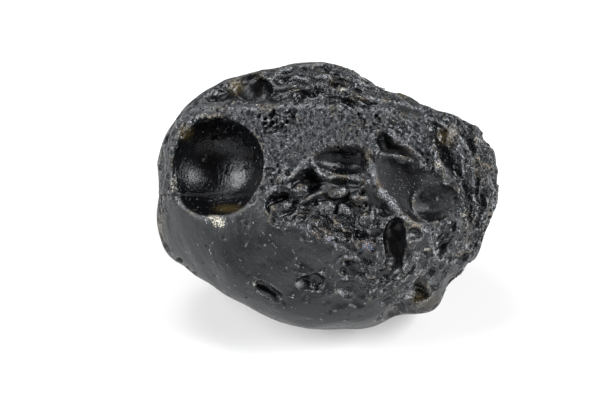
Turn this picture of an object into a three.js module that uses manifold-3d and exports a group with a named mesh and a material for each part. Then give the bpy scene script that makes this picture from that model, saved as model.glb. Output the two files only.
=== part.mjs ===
// A tektite: one blocky lump of black natural glass, etched with bowls and gouges.
//
// The lump is described in a "show" frame: across (left to right over its longest side),
// up, and out through its best-preserved face. The show frame leans back by LEAN so that
// the stone stands on its own worn flat spot, with +Z up in the finished part.
import * as THREE from "three";
import { mergeVertices } from "three/addons/utils/BufferGeometryUtils.js";
import Module from "manifold-3d";

const wasm = await Module();
wasm.setup();

// ---- driving dimensions, in millimetres and degrees -----------------------------------
const LENGTH = 62.0; // tip to tip across the show face
const LEAN = 38; // how far the show face leans back from upright, in degrees
const REST_HEIGHT = 22.2; // heart of the stone above the surface it rests on
const FRONT_DEPTH = 22.5; // heart to the crown of the show side
const BACK_DEPTH = 21.0; // heart to the crown of the hidden side
const BLOCKINESS = 2.6; // 2 would be an ellipsoid, more is boxier
const EDGE_SHARPNESS = 26; // how crisply the worn faces meet

const BODY_DETAIL = 10; // icosahedron subdivisions of the lump
const LEAST_DETAIL = 1; // subdivisions of the smallest hollows and lobes
const DETAIL_PER_MM = 0.25; // further subdivisions for each millimetre across
const SLIVER = 0.15; // edges shorter than this are merged away after the cuts

// Outline of the show side: angle from "across" towards "up" (degrees), distance from the
// heart as a share of half of LENGTH. A smooth closed curve runs through the stations.
const OUTLINE = [
  [0, 0.996], [12, 1.024], [22, 0.988], [28, 0.931], [33, 0.878], [38, 0.815], [46, 0.767],
  [65, 0.709], [80, 0.739], [95, 0.775], [115, 0.818], [135, 0.922], [150, 0.97], [163, 1.003],
  [180, 0.982], [195, 1.014], [210, 0.908], [225, 0.844], [245, 0.774], [270, 0.783], [290, 0.802],
  [302, 0.81], [312, 0.914], [322, 0.892], [330, 0.914], [338, 0.953], [347, 0.956],
];

// Worn faces: direction (across, up, out) and distance of each plane from the heart.
const FACES = {
  top: { facing: [0.02, 0.19, 0.98], distance: 18.9 },
  aroundGreatBowl: { facing: [-0.26, 0.14, 0.95], distance: 20.3 },
  lowerFront: { facing: [-0.02, -0.46, 0.89], distance: 20.8 },
  left: { facing: [-0.74, -0.36, 0.57], distance: 27.6 },
  craterBand: { facing: [-0.02, 0.62, 0.785], distance: 22.3 },
  right: { facing: [0.62, 0.16, 0.77], distance: 24.4 },
  lowerRight: { facing: [0.46, -0.56, 0.69], distance: 24.0 },
  back: { facing: [0.1, 0.45, -0.89], distance: 19.5 },
  backLeft: { facing: [-0.72, 0.2, -0.66], distance: 24.5 },
  backRight: { facing: [0.72, -0.1, -0.68], distance: 25.0 },
};

// Gentle swells of the surface: height, wavelength, number of crossing waves, phase.
const SWELLS = [
  { height: 0.35, wavelength: 17, waves: 9, phase: 1 },
  { height: 0.12, wavelength: 6, waves: 11, phase: 2 },
];

// Hollows that acid soil etched into the glass. Each is part of an ellipsoid:
// at [across, up] on the show side (or the hidden side), mouth width and height, depth,
// fullness (0 is half an ellipsoid, towards 1 is a flat dish), turn of the mouth in
// degrees, and lean of its axis in [across, up]. The scoops and the notches come out of the
// lump first, and the other hollows are set into the surface that they leave.
const SCOOPS = {
  backScoop: { at: [-4, 19.8], mouth: [46, 11], depth: 1.3, fullness: 0.8, turn: -1 },
  greatBowl: { at: [-19.9, 4.8], mouth: [17.8, 17.3], depth: 8.6, fullness: 0.05, lean: [0.2, 0.3] },
  brokenPatch: { at: [1.4, -1.7], mouth: [25, 12.6], depth: 3, fullness: 0.7, turn: -28 },
  ledgeScoop: { at: [2.9, 4.2], mouth: [11.6, 7.4], depth: 2.2, fullness: 0.6, turn: -2 },
  leftScoop: { at: [-6.3, -0.6], mouth: [9.8, 7.4], depth: 1.6, fullness: 0.6, turn: 35 },
  slotScoop: { at: [12.1, -7.8], mouth: [5.2, 9.6], depth: 1.4, fullness: 0.6, turn: 4 },
  rightBowl: {
    at: [15.2, 1.6], mouth: [16.6, 12.8], depth: 4.6, fullness: 0.5, turn: -38, lean: [-0.2, 0.2],
  },
  lowerNotch: { at: [12.4, -20.6], mouth: [7.5, 6], depth: 1.8, lean: [0, -0.4] },
};
const SHOW_HOLLOWS = {
  ledge: { at: [3.1, 5.5], mouth: [9.4, 4.2], depth: 2.2, fullness: 0.75, turn: -2, lean: [0, 0.5] },
  underLedge: { at: [3.6, 1.9], mouth: [6.8, 2.2], depth: 1.2, fullness: 0.2, turn: -3, lean: [0, 0.4] },
  leftScar: { at: [-3.4, 2.2], mouth: [6, 4.2], depth: 2.4, fullness: 0.2, turn: 32, lean: [0, 0.45] },
  pocket: { at: [-8, -1.9], mouth: [5.2, 4.6], depth: 2, fullness: 0.2, lean: [0.1, 0.3] },
  midScar: { at: [2.4, -0.9], mouth: [4.2, 1.8], depth: 1, fullness: 0.2, turn: 20 },
  patchLeft: { at: [-4.4, -2.8], mouth: [3.2, 2.6], depth: 0.8, fullness: 0.2, turn: 50 },
  patchCorner: { at: [8.9, -7], mouth: [2.6, 3.4], depth: 1.2, fullness: 0.2, turn: 20 },
  patchRight: { at: [5.6, -7], mouth: [3.2, 2.2], depth: 1, fullness: 0.2 },
  slot: { at: [11.7, -8.2], mouth: [4.2, 8.4], depth: 3.2, fullness: 0.25, turn: 4 },
  slotSide: { at: [15.2, -6.9], mouth: [3.4, 3], depth: 1.3 },
  lowBowl: { at: [18.8, -1.7], mouth: [8.6, 6.4], depth: 2.2, fullness: 0.2, turn: 8, lean: [0, 0.25] },
  nook: { at: [11.2, 8.9], mouth: [6, 4.6], depth: 2.8, fullness: 0.15, turn: -42, lean: [0, 0.3] },
  rightGroove: {
    at: [20.8, 7.6], mouth: [10.8, 4.8], depth: 3.2, fullness: 0.2, turn: -57, lean: [0.1, 0.35],
  },
  rightDish: { at: [24.4, 0.4], mouth: [3.6, 6.6], depth: 0.9, fullness: 0.6 },
  ringPatch: { at: [21, -8.3], mouth: [6.9, 6.7], depth: 1.1, fullness: 0.5 },
  rimSpot: { at: [27, -4.5], mouth: [2.2, 2.9], depth: 1.5 },
  brownMouth: { at: [16.2, -17.8], mouth: [6.4, 4.8], depth: 3, turn: 20 },
  frontGouge: { at: [-9.3, -17.4], mouth: [8, 3], depth: 1.3, turn: -34, lean: [0, 0.5] },
  frontDimple: { at: [-2.4, -15.9], mouth: [7.8, 3.2], depth: 0.9, fullness: 0.4, turn: -8, lean: [0, 0.5] },
  twinRing: { at: [3.8, -12.6], mouth: [5.2, 3.8], depth: 1, fullness: 0.4 },
  lowRing: { at: [2.4, -18.6], mouth: [5.2, 4.1], depth: 0.8, fullness: 0.5 },
  roughHigh: { at: [7.6, -11.8], mouth: [3.4, 2.6], depth: 1.1 },
  roughLow: { at: [9.6, -14], mouth: [3.4, 3], depth: 1.3 },
  bandCrater: { at: [-12.8, 18.6], mouth: [6.2, 7], depth: 3.8, fullness: 0.1, lean: [-0.35, 0.3] },
  bandCrescent: { at: [-3.8, 17.8], mouth: [5.6, 3.4], depth: 2.2, fullness: 0.2, lean: [0, 0.3] },
  bandFold: { at: [-7.8, 20.2], mouth: [3.4, 2.2], depth: 1.4, fullness: 0.2, turn: 20, lean: [0, 0.3] },
  bandDomeSide: { at: [0.6, 19.6], mouth: [4.2, 2.8], depth: 1.4, fullness: 0.2, turn: -40, lean: [0, 0.3] },
  bandHole: { at: [3, 16.3], mouth: [3.2, 1.9], depth: 1.8, fullness: 0.2, turn: -20, lean: [0, 0.2] },
  bandRightFold: {
    at: [6.4, 18.6], mouth: [3.6, 2.6], depth: 1.3, fullness: 0.2, turn: -35, lean: [0, 0.3],
  },
  bandLeftDish: { at: [-19, 17.4], mouth: [6, 3.4], depth: 0.9, fullness: 0.5, turn: 20 },
  bandRightDish: { at: [10.5, 16.6], mouth: [6.4, 3.2], depth: 1, fullness: 0.4, turn: -18 },
};
const HIDDEN_HOLLOWS = {
  backBowl: { at: [8, 12], mouth: [15, 12], depth: 3.6, fullness: 0.4, turn: 20 },
  backCup: { at: [-12, 13.5], mouth: [8.6, 8], depth: 3.2 },
  backPit: { at: [-2.5, 18], mouth: [5, 4.6], depth: 1.8 },
  backGouge: { at: [20, 7], mouth: [10, 4.4], depth: 2.2, turn: -50 },
  backHollow: { at: [-5, 2.5], mouth: [13, 9], depth: 2.6, fullness: 0.5, turn: 10 },
  leftBackCup: { at: [-22, 7], mouth: [9, 7.4], depth: 2.8, fullness: 0.35, turn: 60 },
  underCup: { at: [12, -9], mouth: [7.6, 6.4], depth: 2.2 },
  underGouge: { at: [-17, -7], mouth: [8.6, 4.2], depth: 1.8, turn: 30 },
  rightBackCup: { at: [23.5, -4], mouth: [7.6, 8.6], depth: 2.4, fullness: 0.4 },
};
const USUAL_FULLNESS = 0.3;

// Notches in the outline that run from front to back: angle as in OUTLINE, width, depth.
const RIM_NOTCHES = [
  [5.5, 3.4, 1.6], [19, 2.6, 0.9], [29, 2.4, 0.7], [37, 2.2, 0.9], [43, 2.2, 1], [50, 2.6, 0.9],
  [58, 3.2, 0.7], [71, 3.6, 0.8], [298, 3.6, 1.2], [325, 3.4, 0.9], [333, 2.2, 0.7], [349, 3, 0.8],
];
const NOTCH_LENGTH = 13; // from front to back
const NOTCH_SEAT = 0.985; // share of the outline's radius at which a notch is placed

// Smooth lobes of glass that were left standing between the hollows: at [across, up], width
// and height, level (how far the top lies under the skin of the lump), rise (how far the
// middle lies under the top), and turn.
const LOBES = {
  pocketLobe: { at: [-8.6, -2.6], size: [4.4, 3.6], level: 0.8, rise: 2, turn: 30 },
  scarLobe: { at: [-5.1, 0.6], size: [4.6, 3.2], level: 0.7, rise: 2, turn: 55 },
  middleLobe: { at: [5.8, -0.6], size: [4.2, 3.4], level: 1.2, rise: 2.2, turn: -20 },
  leftLobe: { at: [-0.8, -2.2], size: [4.8, 3], level: 1.3, rise: 2, turn: 20 },
  diagonalLobe: { at: [2.6, -5.3], size: [7.4, 2.4], level: 1, rise: 2, turn: -37 },
  innerDome: { at: [19.2, 2.6], size: [8.4, 5.6], level: 2.4, rise: 3, turn: -30 },
  bandDome: { at: [-1, 21.4], size: [4.6, 2.8], level: -0.2, rise: 1.4, turn: -20 },
  rimLumpHigh: { at: [26.8, 7.4], size: [3.4, 4.4], level: -0.1, rise: 1.6, turn: 20 },
  rimLump: { at: [28.6, 1.6], size: [3, 4.6], level: -0.1, rise: 1.6 },
  lowLump: { at: [19.6, -15.6], size: [4, 3.6], level: -0.3, rise: 1.8 },
};

// ---- the lump ---------------------------------------------------------------------------

/** Distance of the outline from the heart at an angle in degrees, in millimetres. */
function outlineRadius(angle) {
  const count = OUTLINE.length;
  const station = (index) => {
    const turns = Math.floor(index / count);
    const [degrees, share] = OUTLINE[index - turns * count];
    return [degrees + 360 * turns, (share * LENGTH) / 2];
  };
  const degrees = ((angle % 360) + 360) % 360;
  const start = OUTLINE.findLastIndex(([stationAngle]) => stationAngle <= degrees);
  const [before, here, next, after] = [-1, 0, 1, 2].map((step) => station(start + step));
  const span = next[0] - here[0];
  const slopeHere = ((next[1] - before[1]) / (next[0] - before[0])) * span;
  const slopeNext = ((after[1] - here[1]) / (after[0] - here[0])) * span;
  const t = (degrees - here[0]) / span;
  const hold = 2 * t ** 3 - 3 * t ** 2 + 1;
  return (
    hold * here[1] + (1 - hold) * next[1]
    + (t ** 3 - 2 * t ** 2 + t) * slopeHere + (t ** 3 - t ** 2) * slopeNext
  );
}

/** Evenly spread unit direction number index of count, on a spiral over the sphere. */
function spreadDirection(index, count) {
  const goldenAngle = 2.39996;
  const height = 1 - (2 * (index + 0.5)) / count;
  const ring = Math.sqrt(1 - height * height);
  const angle = index * goldenAngle;
  return new THREE.Vector3(ring * Math.cos(angle), ring * Math.sin(angle), height);
}

/** Height of one swell at a point: plane waves that cross in spread directions. */
function swellAt(point, { height, wavelength, waves, phase }) {
  const phaseStep = 2.4;
  let sum = 0;
  for (let index = 0; index < waves; index += 1) {
    const along = point.dot(spreadDirection(index, waves));
    sum += Math.sin((along * 2 * Math.PI) / wavelength + phaseStep * index + phase);
  }
  return (height * sum) / Math.sqrt(waves);
}

/** Distance from the heart to the skin of the lump along a unit direction. */
function bodyRadius(direction) {
  const angle = THREE.MathUtils.radToDeg(Math.atan2(direction.y, direction.x));
  const sideways = Math.hypot(direction.x, direction.y) / outlineRadius(angle);
  const depth = direction.z > 0 ? FRONT_DEPTH : BACK_DEPTH;
  const inward = Math.abs(direction.z) / depth;
  const round = (sideways ** BLOCKINESS + inward ** BLOCKINESS) ** (1 / BLOCKINESS);
  let sum = round ** EDGE_SHARPNESS;
  for (const { facing, distance } of Object.values(FACES)) {
    const plane = new THREE.Vector3(...facing).normalize();
    sum += Math.max(0, direction.dot(plane) / distance) ** EDGE_SHARPNESS;
  }
  const radius = sum ** (-1 / EDGE_SHARPNESS);
  const skin = direction.clone().multiplyScalar(radius);
  return SWELLS.reduce((total, swell) => total + swellAt(skin, swell), radius);
}

// ---- placing hollows and lobes ------------------------------------------------------------

/** How deep a point lies inside an ellipsoid, negative outside. */
function depthInside(point, { centre, axes, radii }) {
  const offset = point.clone().sub(centre);
  const scaled = axes.map((axis, index) => offset.dot(axis) / radii[index]);
  const size = Math.hypot(...scaled);
  const steepness = Math.hypot(...scaled.map((value, index) => value / radii[index]));
  return (size * (1 - size)) / steepness;
}

/** How far a point lies outside (positive) or inside the lump with some hollows cut out. */
function outsideBy(point, cuts) {
  const outsideLump = point.length() - bodyRadius(point.clone().normalize());
  return cuts.reduce((field, cut) => Math.max(field, depthInside(point, cut)), outsideLump);
}

/** Point of the surface that is seen at [across, up], on the show side or the hidden side. */
function skinPoint([across, up], side, cuts) {
  let [inside, outside] = [0, side * (FRONT_DEPTH + BACK_DEPTH)];
  for (let halving = 0; halving < 40; halving += 1) {
    const middle = (inside + outside) / 2;
    if (outsideBy(new THREE.Vector3(across, up, middle), cuts) < 0) inside = middle;
    else outside = middle;
  }
  return new THREE.Vector3(across, up, inside);
}

/** Outward direction of the surface at a point, averaged over a few millimetres. */
function skinNormal(point, cuts) {
  const reach = 1.5;
  const slope = ["x", "y", "z"].map((axis) => {
    const step = new THREE.Vector3();
    step[axis] = reach;
    return outsideBy(point.clone().add(step), cuts) - outsideBy(point.clone().sub(step), cuts);
  });
  return new THREE.Vector3(...slope).normalize();
}

/** Radii of a hollow's whole ellipsoid, and how far its middle lies above the surface. */
function hollowSizes({ mouth, depth, fullness = USUAL_FULLNESS }) {
  const swell = 1 / Math.sqrt(1 - fullness * fullness);
  const deep = depth / (1 - fullness);
  return { radii: [(mouth[0] / 2) * swell, (mouth[1] / 2) * swell, deep], lift: fullness * deep };
}

/** The same for a lobe, whose middle lies below the surface. */
function lobeSizes({ size, rise }) {
  return { radii: [size[0] / 2, size[1] / 2, rise], lift: -rise };
}

/** The ellipsoid of a hollow or a lobe, with its axis square to the surface plus its lean. */
function ellipsoidOn(cuts, side, shape) {
  const { at, turn = 0, lean = [0, 0], level = 0 } = shape;
  const { radii, lift } = shape.rise ? lobeSizes(shape) : hollowSizes(shape);
  const point = skinPoint(at, side, cuts);
  const axis = skinNormal(point, cuts).add(new THREE.Vector3(...lean, 0)).normalize();
  const angle = THREE.MathUtils.degToRad(turn);
  const wide = new THREE.Vector3(Math.cos(angle), Math.sin(angle), 0);
  wide.addScaledVector(axis, -wide.dot(axis)).normalize();
  const high = new THREE.Vector3().crossVectors(axis, wide);
  const centre = point.addScaledVector(axis, lift);
  centre.z -= side * level;
  return { centre, axes: [wide, high, axis], radii };
}

/** The hollow of one notch in the outline. */
function notchHollow([angle, width, depth]) {
  const turn = THREE.MathUtils.degToRad(angle);
  const edge = NOTCH_SEAT * outlineRadius(angle);
  const at = [edge * Math.cos(turn), edge * Math.sin(turn)];
  return { at, mouth: [width, NOTCH_LENGTH], depth, turn: angle + 90 };
}

// ---- solids -----------------------------------------------------------------------------

/** Closed manifold solid of a three.js geometry. */
function solidOf(geometry) {
  geometry.deleteAttribute("normal");
  geometry.deleteAttribute("uv");
  const merged = mergeVertices(geometry);
  return new wasm.Manifold(new wasm.Mesh({
    numProp: 3,
    vertProperties: new Float32Array(merged.attributes.position.array),
    triVerts: new Uint32Array(merged.index.array),
  }));
}

/** The lump before etching: an icosahedron whose corners are pushed out to the skin. */
function lumpSolid() {
  const geometry = new THREE.IcosahedronGeometry(1, BODY_DETAIL);
  const position = geometry.attributes.position;
  const corner = new THREE.Vector3();
  for (let index = 0; index < position.count; index += 1) {
    corner.fromBufferAttribute(position, index).normalize();
    corner.multiplyScalar(bodyRadius(corner));
    position.setXYZ(index, corner.x, corner.y, corner.z);
  }
  return solidOf(geometry);
}

/** The solid of an ellipsoid, with more facets the larger it is. */
function ellipsoidSolid({ centre, axes, radii }) {
  const detail = LEAST_DETAIL + Math.floor(2 * DETAIL_PER_MM * Math.max(radii[0], radii[1]));
  const geometry = new THREE.IcosahedronGeometry(1, detail);
  geometry.scale(...radii);
  geometry.applyMatrix4(new THREE.Matrix4().makeBasis(...axes).setPosition(centre));
  return solidOf(geometry);
}

/** Slab that takes the underside off flat, level with the rest height. */
function restSlab() {
  const slab = new THREE.BoxGeometry(LENGTH * 2, LENGTH * 2, LENGTH);
  slab.translate(0, 0, -REST_HEIGHT - LENGTH / 2);
  return solidOf(slab);
}

/** Turns the show frame (across, up, out) to the stone's own stand, +Z up. */
function standUpright(geometry) {
  const lean = THREE.MathUtils.degToRad(LEAN);
  const across = new THREE.Vector3(1, 0, 0);
  const up = new THREE.Vector3(0, Math.sin(lean), Math.cos(lean));
  const out = new THREE.Vector3().crossVectors(across, up);
  geometry.applyMatrix4(new THREE.Matrix4().makeBasis(across, up, out));
  return geometry;
}

/** three.js geometry of a manifold solid. */
function geometryOf(solid) {
  const { vertProperties, triVerts } = solid.getMesh();
  const geometry = new THREE.BufferGeometry();
  geometry.setAttribute("position", new THREE.BufferAttribute(vertProperties, 3));
  geometry.setIndex(new THREE.BufferAttribute(triVerts, 1));
  return geometry;
}

/** The whole stone, standing on its flat spot with that spot's level at z = 0. */
function stoneGeometry() {
  const placeAll = (cuts, side, shapes) => shapes.map((shape) => ellipsoidOn(cuts, side, shape));
  const scoops = placeAll([], 1, [...Object.values(SCOOPS), ...RIM_NOTCHES.map(notchHollow)]);
  const hollows = [
    ...placeAll(scoops, 1, Object.values(SHOW_HOLLOWS)),
    ...placeAll(scoops, -1, Object.values(HIDDEN_HOLLOWS)),
  ];
  const lobes = placeAll([], 1, Object.values(LOBES));
  const stone = [...scoops, ...hollows].reduce(
    (glass, hollow) => glass.subtract(ellipsoidSolid(hollow)),
    lumpSolid(),
  );
  const whole = lobes.reduce((glass, lobe) => glass.add(ellipsoidSolid(lobe)), stone);
  const upright = solidOf(standUpright(geometryOf(whole))).subtract(restSlab());
  const geometry = geometryOf(upright.simplify(SLIVER));
  geometry.computeBoundingBox();
  const { min, max } = geometry.boundingBox;
  geometry.translate(-(min.x + max.x) / 2, -(min.y + max.y) / 2, -min.z);
  geometry.computeVertexNormals();
  return geometry;
}

const blackGlass = new THREE.MeshStandardMaterial({
  name: "tektite_glass",
  color: 0x26272a,
  roughness: 0.4,
  metalness: 0,
  flatShading: true,
});

const tektite = new THREE.Mesh(stoneGeometry(), blackGlass);
tektite.name = "tektite";

const part = new THREE.Group();
part.add(tektite);

export default part;
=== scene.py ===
"""Visual model of a tektite: a blocky lump of black natural glass, etched by soil acid.

The stone is worked out as a distance field in millimetres: a lump with worn faces, then
the hollows that acid etched into it, then lobes, crests and zones of small craters. The
field is meshed, and Geometry Nodes add the finest pits. The CAD solid is shaped by the
same lump with the larger of these hollows and lobes.
"""

import itertools
import logging
import math
from dataclasses import dataclass
from enum import Enum
from typing import Any, Callable, Sequence

import bpy
import numpy as np
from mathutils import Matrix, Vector


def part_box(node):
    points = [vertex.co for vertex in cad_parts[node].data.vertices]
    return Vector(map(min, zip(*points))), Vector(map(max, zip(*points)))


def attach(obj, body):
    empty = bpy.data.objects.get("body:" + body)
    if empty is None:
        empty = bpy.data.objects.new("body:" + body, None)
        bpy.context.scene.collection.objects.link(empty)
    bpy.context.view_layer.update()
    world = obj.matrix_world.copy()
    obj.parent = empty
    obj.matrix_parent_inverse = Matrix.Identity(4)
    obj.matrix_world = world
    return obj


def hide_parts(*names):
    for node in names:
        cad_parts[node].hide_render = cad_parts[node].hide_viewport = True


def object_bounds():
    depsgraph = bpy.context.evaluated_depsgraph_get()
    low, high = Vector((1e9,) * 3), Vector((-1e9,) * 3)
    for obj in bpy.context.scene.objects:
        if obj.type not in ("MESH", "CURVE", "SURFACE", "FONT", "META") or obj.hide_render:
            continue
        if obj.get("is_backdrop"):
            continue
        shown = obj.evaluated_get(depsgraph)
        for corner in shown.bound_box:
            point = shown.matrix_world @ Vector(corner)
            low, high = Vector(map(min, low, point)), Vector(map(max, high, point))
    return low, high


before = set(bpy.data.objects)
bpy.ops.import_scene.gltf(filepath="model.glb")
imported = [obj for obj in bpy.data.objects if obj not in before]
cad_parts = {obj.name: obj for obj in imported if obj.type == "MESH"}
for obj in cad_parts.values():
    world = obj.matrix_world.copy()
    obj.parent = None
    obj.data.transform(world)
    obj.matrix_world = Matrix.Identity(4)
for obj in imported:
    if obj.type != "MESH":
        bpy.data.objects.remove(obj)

CAD_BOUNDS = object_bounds()
NODE = "tektite"
BODY = "root"
MM = 0.001

log = logging.getLogger("tektite")

Array = np.ndarray


# ---- the frame that the stone is described in ---------------------------------------------

LEAN_DEG = 38.0
REST_HEIGHT = 22.2
LEAN = math.radians(LEAN_DEG)
ACROSS = np.array((1.0, 0.0, 0.0))
UP = np.array((0.0, math.sin(LEAN), math.cos(LEAN)))
OUT = np.cross(ACROSS, UP)
SHOW_AXES = np.stack((ACROSS, UP, OUT))
GOLDEN_ANGLE = 2.39996
EDGE_MARGIN = 0.985  # how far out hollows of the edge are centred, as a share of the outline


class Side(Enum):
    """Which half of the stone a hollow is placed on, as the sign of its `out` axis."""

    SHOW = 1
    HIDDEN = -1


def unit(vectors: Array) -> Array:
    """Vectors scaled to a length of one, along the last axis."""
    return vectors / np.maximum(np.linalg.norm(vectors, axis=-1, keepdims=True), 1e-9)


def spread_direction(index: int, count: int) -> Array:
    """Evenly spread unit direction number `index` of `count`, on a spiral."""
    height = 1 - 2 * (index + 0.5) / count
    ring = math.sqrt(1 - height * height)
    angle = index * GOLDEN_ANGLE
    return np.array((ring * math.cos(angle), ring * math.sin(angle), height))


@dataclass(frozen=True)
class Swell:
    """A gentle unevenness made of plane waves that cross in spread directions."""

    height: float
    wavelength: float
    waves: int
    phase: float

    def at(self, points: Array) -> Array:
        """Height of the swell at each point.

        Args:
            points: positions in mm, one row each.

        Returns:
            One height in mm for each row.
        """
        phase_step = 2.4
        total = np.zeros(len(points), np.float32)
        for index in range(self.waves):
            along = points @ spread_direction(index, self.waves)
            angle = along * (2 * math.pi / self.wavelength) + phase_step * index + self.phase
            total += np.sin(angle.astype(np.float32))
        return total * (self.height / math.sqrt(self.waves))


# ---- the lump -----------------------------------------------------------------------------


@dataclass(frozen=True)
class Lump:
    """The stone before etching: an outline, a depth, and worn faces."""

    length: float = 62.0
    front_depth: float = 22.5
    back_depth: float = 21.0
    blockiness: float = 2.6
    edge_sharpness: float = 26.0
    outline: tuple[tuple[float, float], ...] = (
        (0, 0.996), (12, 1.024), (22, 0.988), (28, 0.931), (33, 0.878), (38, 0.815), (46, 0.767),
        (65, 0.709), (80, 0.739), (95, 0.775), (115, 0.818), (135, 0.922), (150, 0.97),
        (163, 1.003), (180, 0.982), (195, 1.014), (210, 0.908), (225, 0.844), (245, 0.774),
        (270, 0.783), (290, 0.802), (302, 0.81), (312, 0.914), (322, 0.892), (330, 0.914),
        (338, 0.953), (347, 0.956),
    )
    faces: tuple[tuple[tuple[float, float, float], float], ...] = (
        ((0.02, 0.19, 0.98), 18.9),  # top
        ((-0.26, 0.14, 0.95), 20.3),  # around the great bowl
        ((-0.02, -0.46, 0.89), 20.8),  # lower front
        ((-0.74, -0.36, 0.57), 27.6),  # left
        ((-0.02, 0.62, 0.785), 22.3),  # crater band
        ((0.62, 0.16, 0.77), 24.4),  # right
        ((0.46, -0.56, 0.69), 24.0),  # lower right
        ((0.1, 0.45, -0.89), 19.5),  # back
        ((-0.72, 0.2, -0.66), 24.5),  # back left
        ((0.72, -0.1, -0.68), 25.0),  # back right
    )
    swells: tuple[Swell, ...] = (Swell(0.35, 17, 9, 1), Swell(0.12, 6, 11, 2))

    def outline_radius(self, degrees: Array) -> Array:
        """Distance of the outline from the heart, on a smooth closed curve.

        Args:
            degrees: angles from `across` towards `up`.

        Returns:
            Distances in mm.
        """
        angle, share = np.array(self.outline, float).T
        angles = np.concatenate((angle - 360, angle, angle + 360))
        radii = np.tile(share * self.length / 2, 3)
        here = np.searchsorted(angles, degrees % 360, side="right") - 1
        span = angles[here + 1] - angles[here]
        slope = (radii[2:] - radii[:-2]) / (angles[2:] - angles[:-2])
        t = (degrees % 360 - angles[here]) / span
        hold = 2 * t**3 - 3 * t**2 + 1
        return (
            hold * radii[here]
            + (1 - hold) * radii[here + 1]
            + (t**3 - 2 * t**2 + t) * slope[here - 1] * span
            + (t**3 - t**2) * slope[here] * span
        )

    def radius(self, directions: Array) -> Array:
        """Distance from the heart to the skin along unit directions, in mm."""
        angle = np.degrees(np.arctan2(directions[:, 1], directions[:, 0]))
        sideways = np.hypot(directions[:, 0], directions[:, 1]) / self.outline_radius(angle)
        depth = np.where(directions[:, 2] > 0, self.front_depth, self.back_depth)
        inward = np.abs(directions[:, 2]) / depth
        round_part = (sideways**self.blockiness + inward**self.blockiness) ** (1 / self.blockiness)
        total = round_part**self.edge_sharpness
        for facing, distance in self.faces:
            plane = unit(np.array(facing)) / distance
            total += np.maximum(0, directions @ plane) ** self.edge_sharpness
        radius = total ** (-1 / self.edge_sharpness)
        skin = directions * radius[:, None]
        return radius + sum(swell.at(skin) for swell in self.swells)

    def outside_by(self, points: Array) -> Array:
        """How far points lie outside the skin, negative inside, in mm."""
        return np.linalg.norm(points, axis=1) - self.radius(unit(points))


# ---- hollows ------------------------------------------------------------------------------


@dataclass(frozen=True)
class Hollow:
    """One etched hollow, part of an ellipsoid sunk into the skin. Sizes in mm.

    `fullness` is 0 for half an ellipsoid and goes towards 1 for a flat dish. `lean` tips
    the hollow's axis in [across, up]. `lip` is how far its edge is rounded. `uneven` is
    how much its rim wanders, `ripple` is the height of the waves on its floor, and `level`
    is how far it is sunk along `out`.
    """

    at: tuple[float, float]
    mouth: tuple[float, float]
    depth: float
    fullness: float = 0.3
    turn: float = 0.0
    lean: tuple[float, float] = (0.0, 0.0)
    side: Side = Side.SHOW
    lip: float = 0.14
    uneven: float = 1.0
    ripple: float = 0.0
    level: float = 0.0

    def radii(self) -> tuple[float, float, float]:
        """Radii of the whole ellipsoid."""
        swell = 1 / math.sqrt(1 - self.fullness**2)
        length, width = self.mouth
        return length / 2 * swell, width / 2 * swell, self.depth / (1 - self.fullness)

    def lift(self) -> float:
        """How far the ellipsoid's middle lies above the surface."""
        return self.fullness * self.depth / (1 - self.fullness)


SCOOPS: dict[str, Hollow] = {
    "back_scoop": Hollow((-4, 19.8), (46, 11.0), 1.3, 0.8, -1, uneven=0.7),
    "great_bowl": Hollow((-19.9, 4.8), (17.8, 17.3), 8.6, 0.05, 0, (0.2, 0.3), lip=0.9, uneven=0.2),
    "broken_patch": Hollow((1.4, -1.7), (25.0, 12.6), 3.0, 0.7, -28, lip=0.06),
    "ledge_scoop": Hollow((2.9, 4.2), (11.6, 7.4), 2.2, 0.6, -2, lip=0.06),
    "left_scoop": Hollow((-6.3, -0.6), (9.8, 7.4), 1.6, 0.6, 35, lip=0.06),
    "slot_scoop": Hollow((12.1, -7.8), (5.2, 9.6), 1.4, 0.6, 4, lip=0.08),
    "right_bowl": Hollow((15.2, 1.6), (16.6, 12.8), 4.6, 0.5, -38, (-0.2, 0.2), lip=0.08, uneven=0.5),
    "lower_notch": Hollow((12.4, -20.6), (7.5, 6), 1.8, lean=(0, -0.4)),
}

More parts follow.
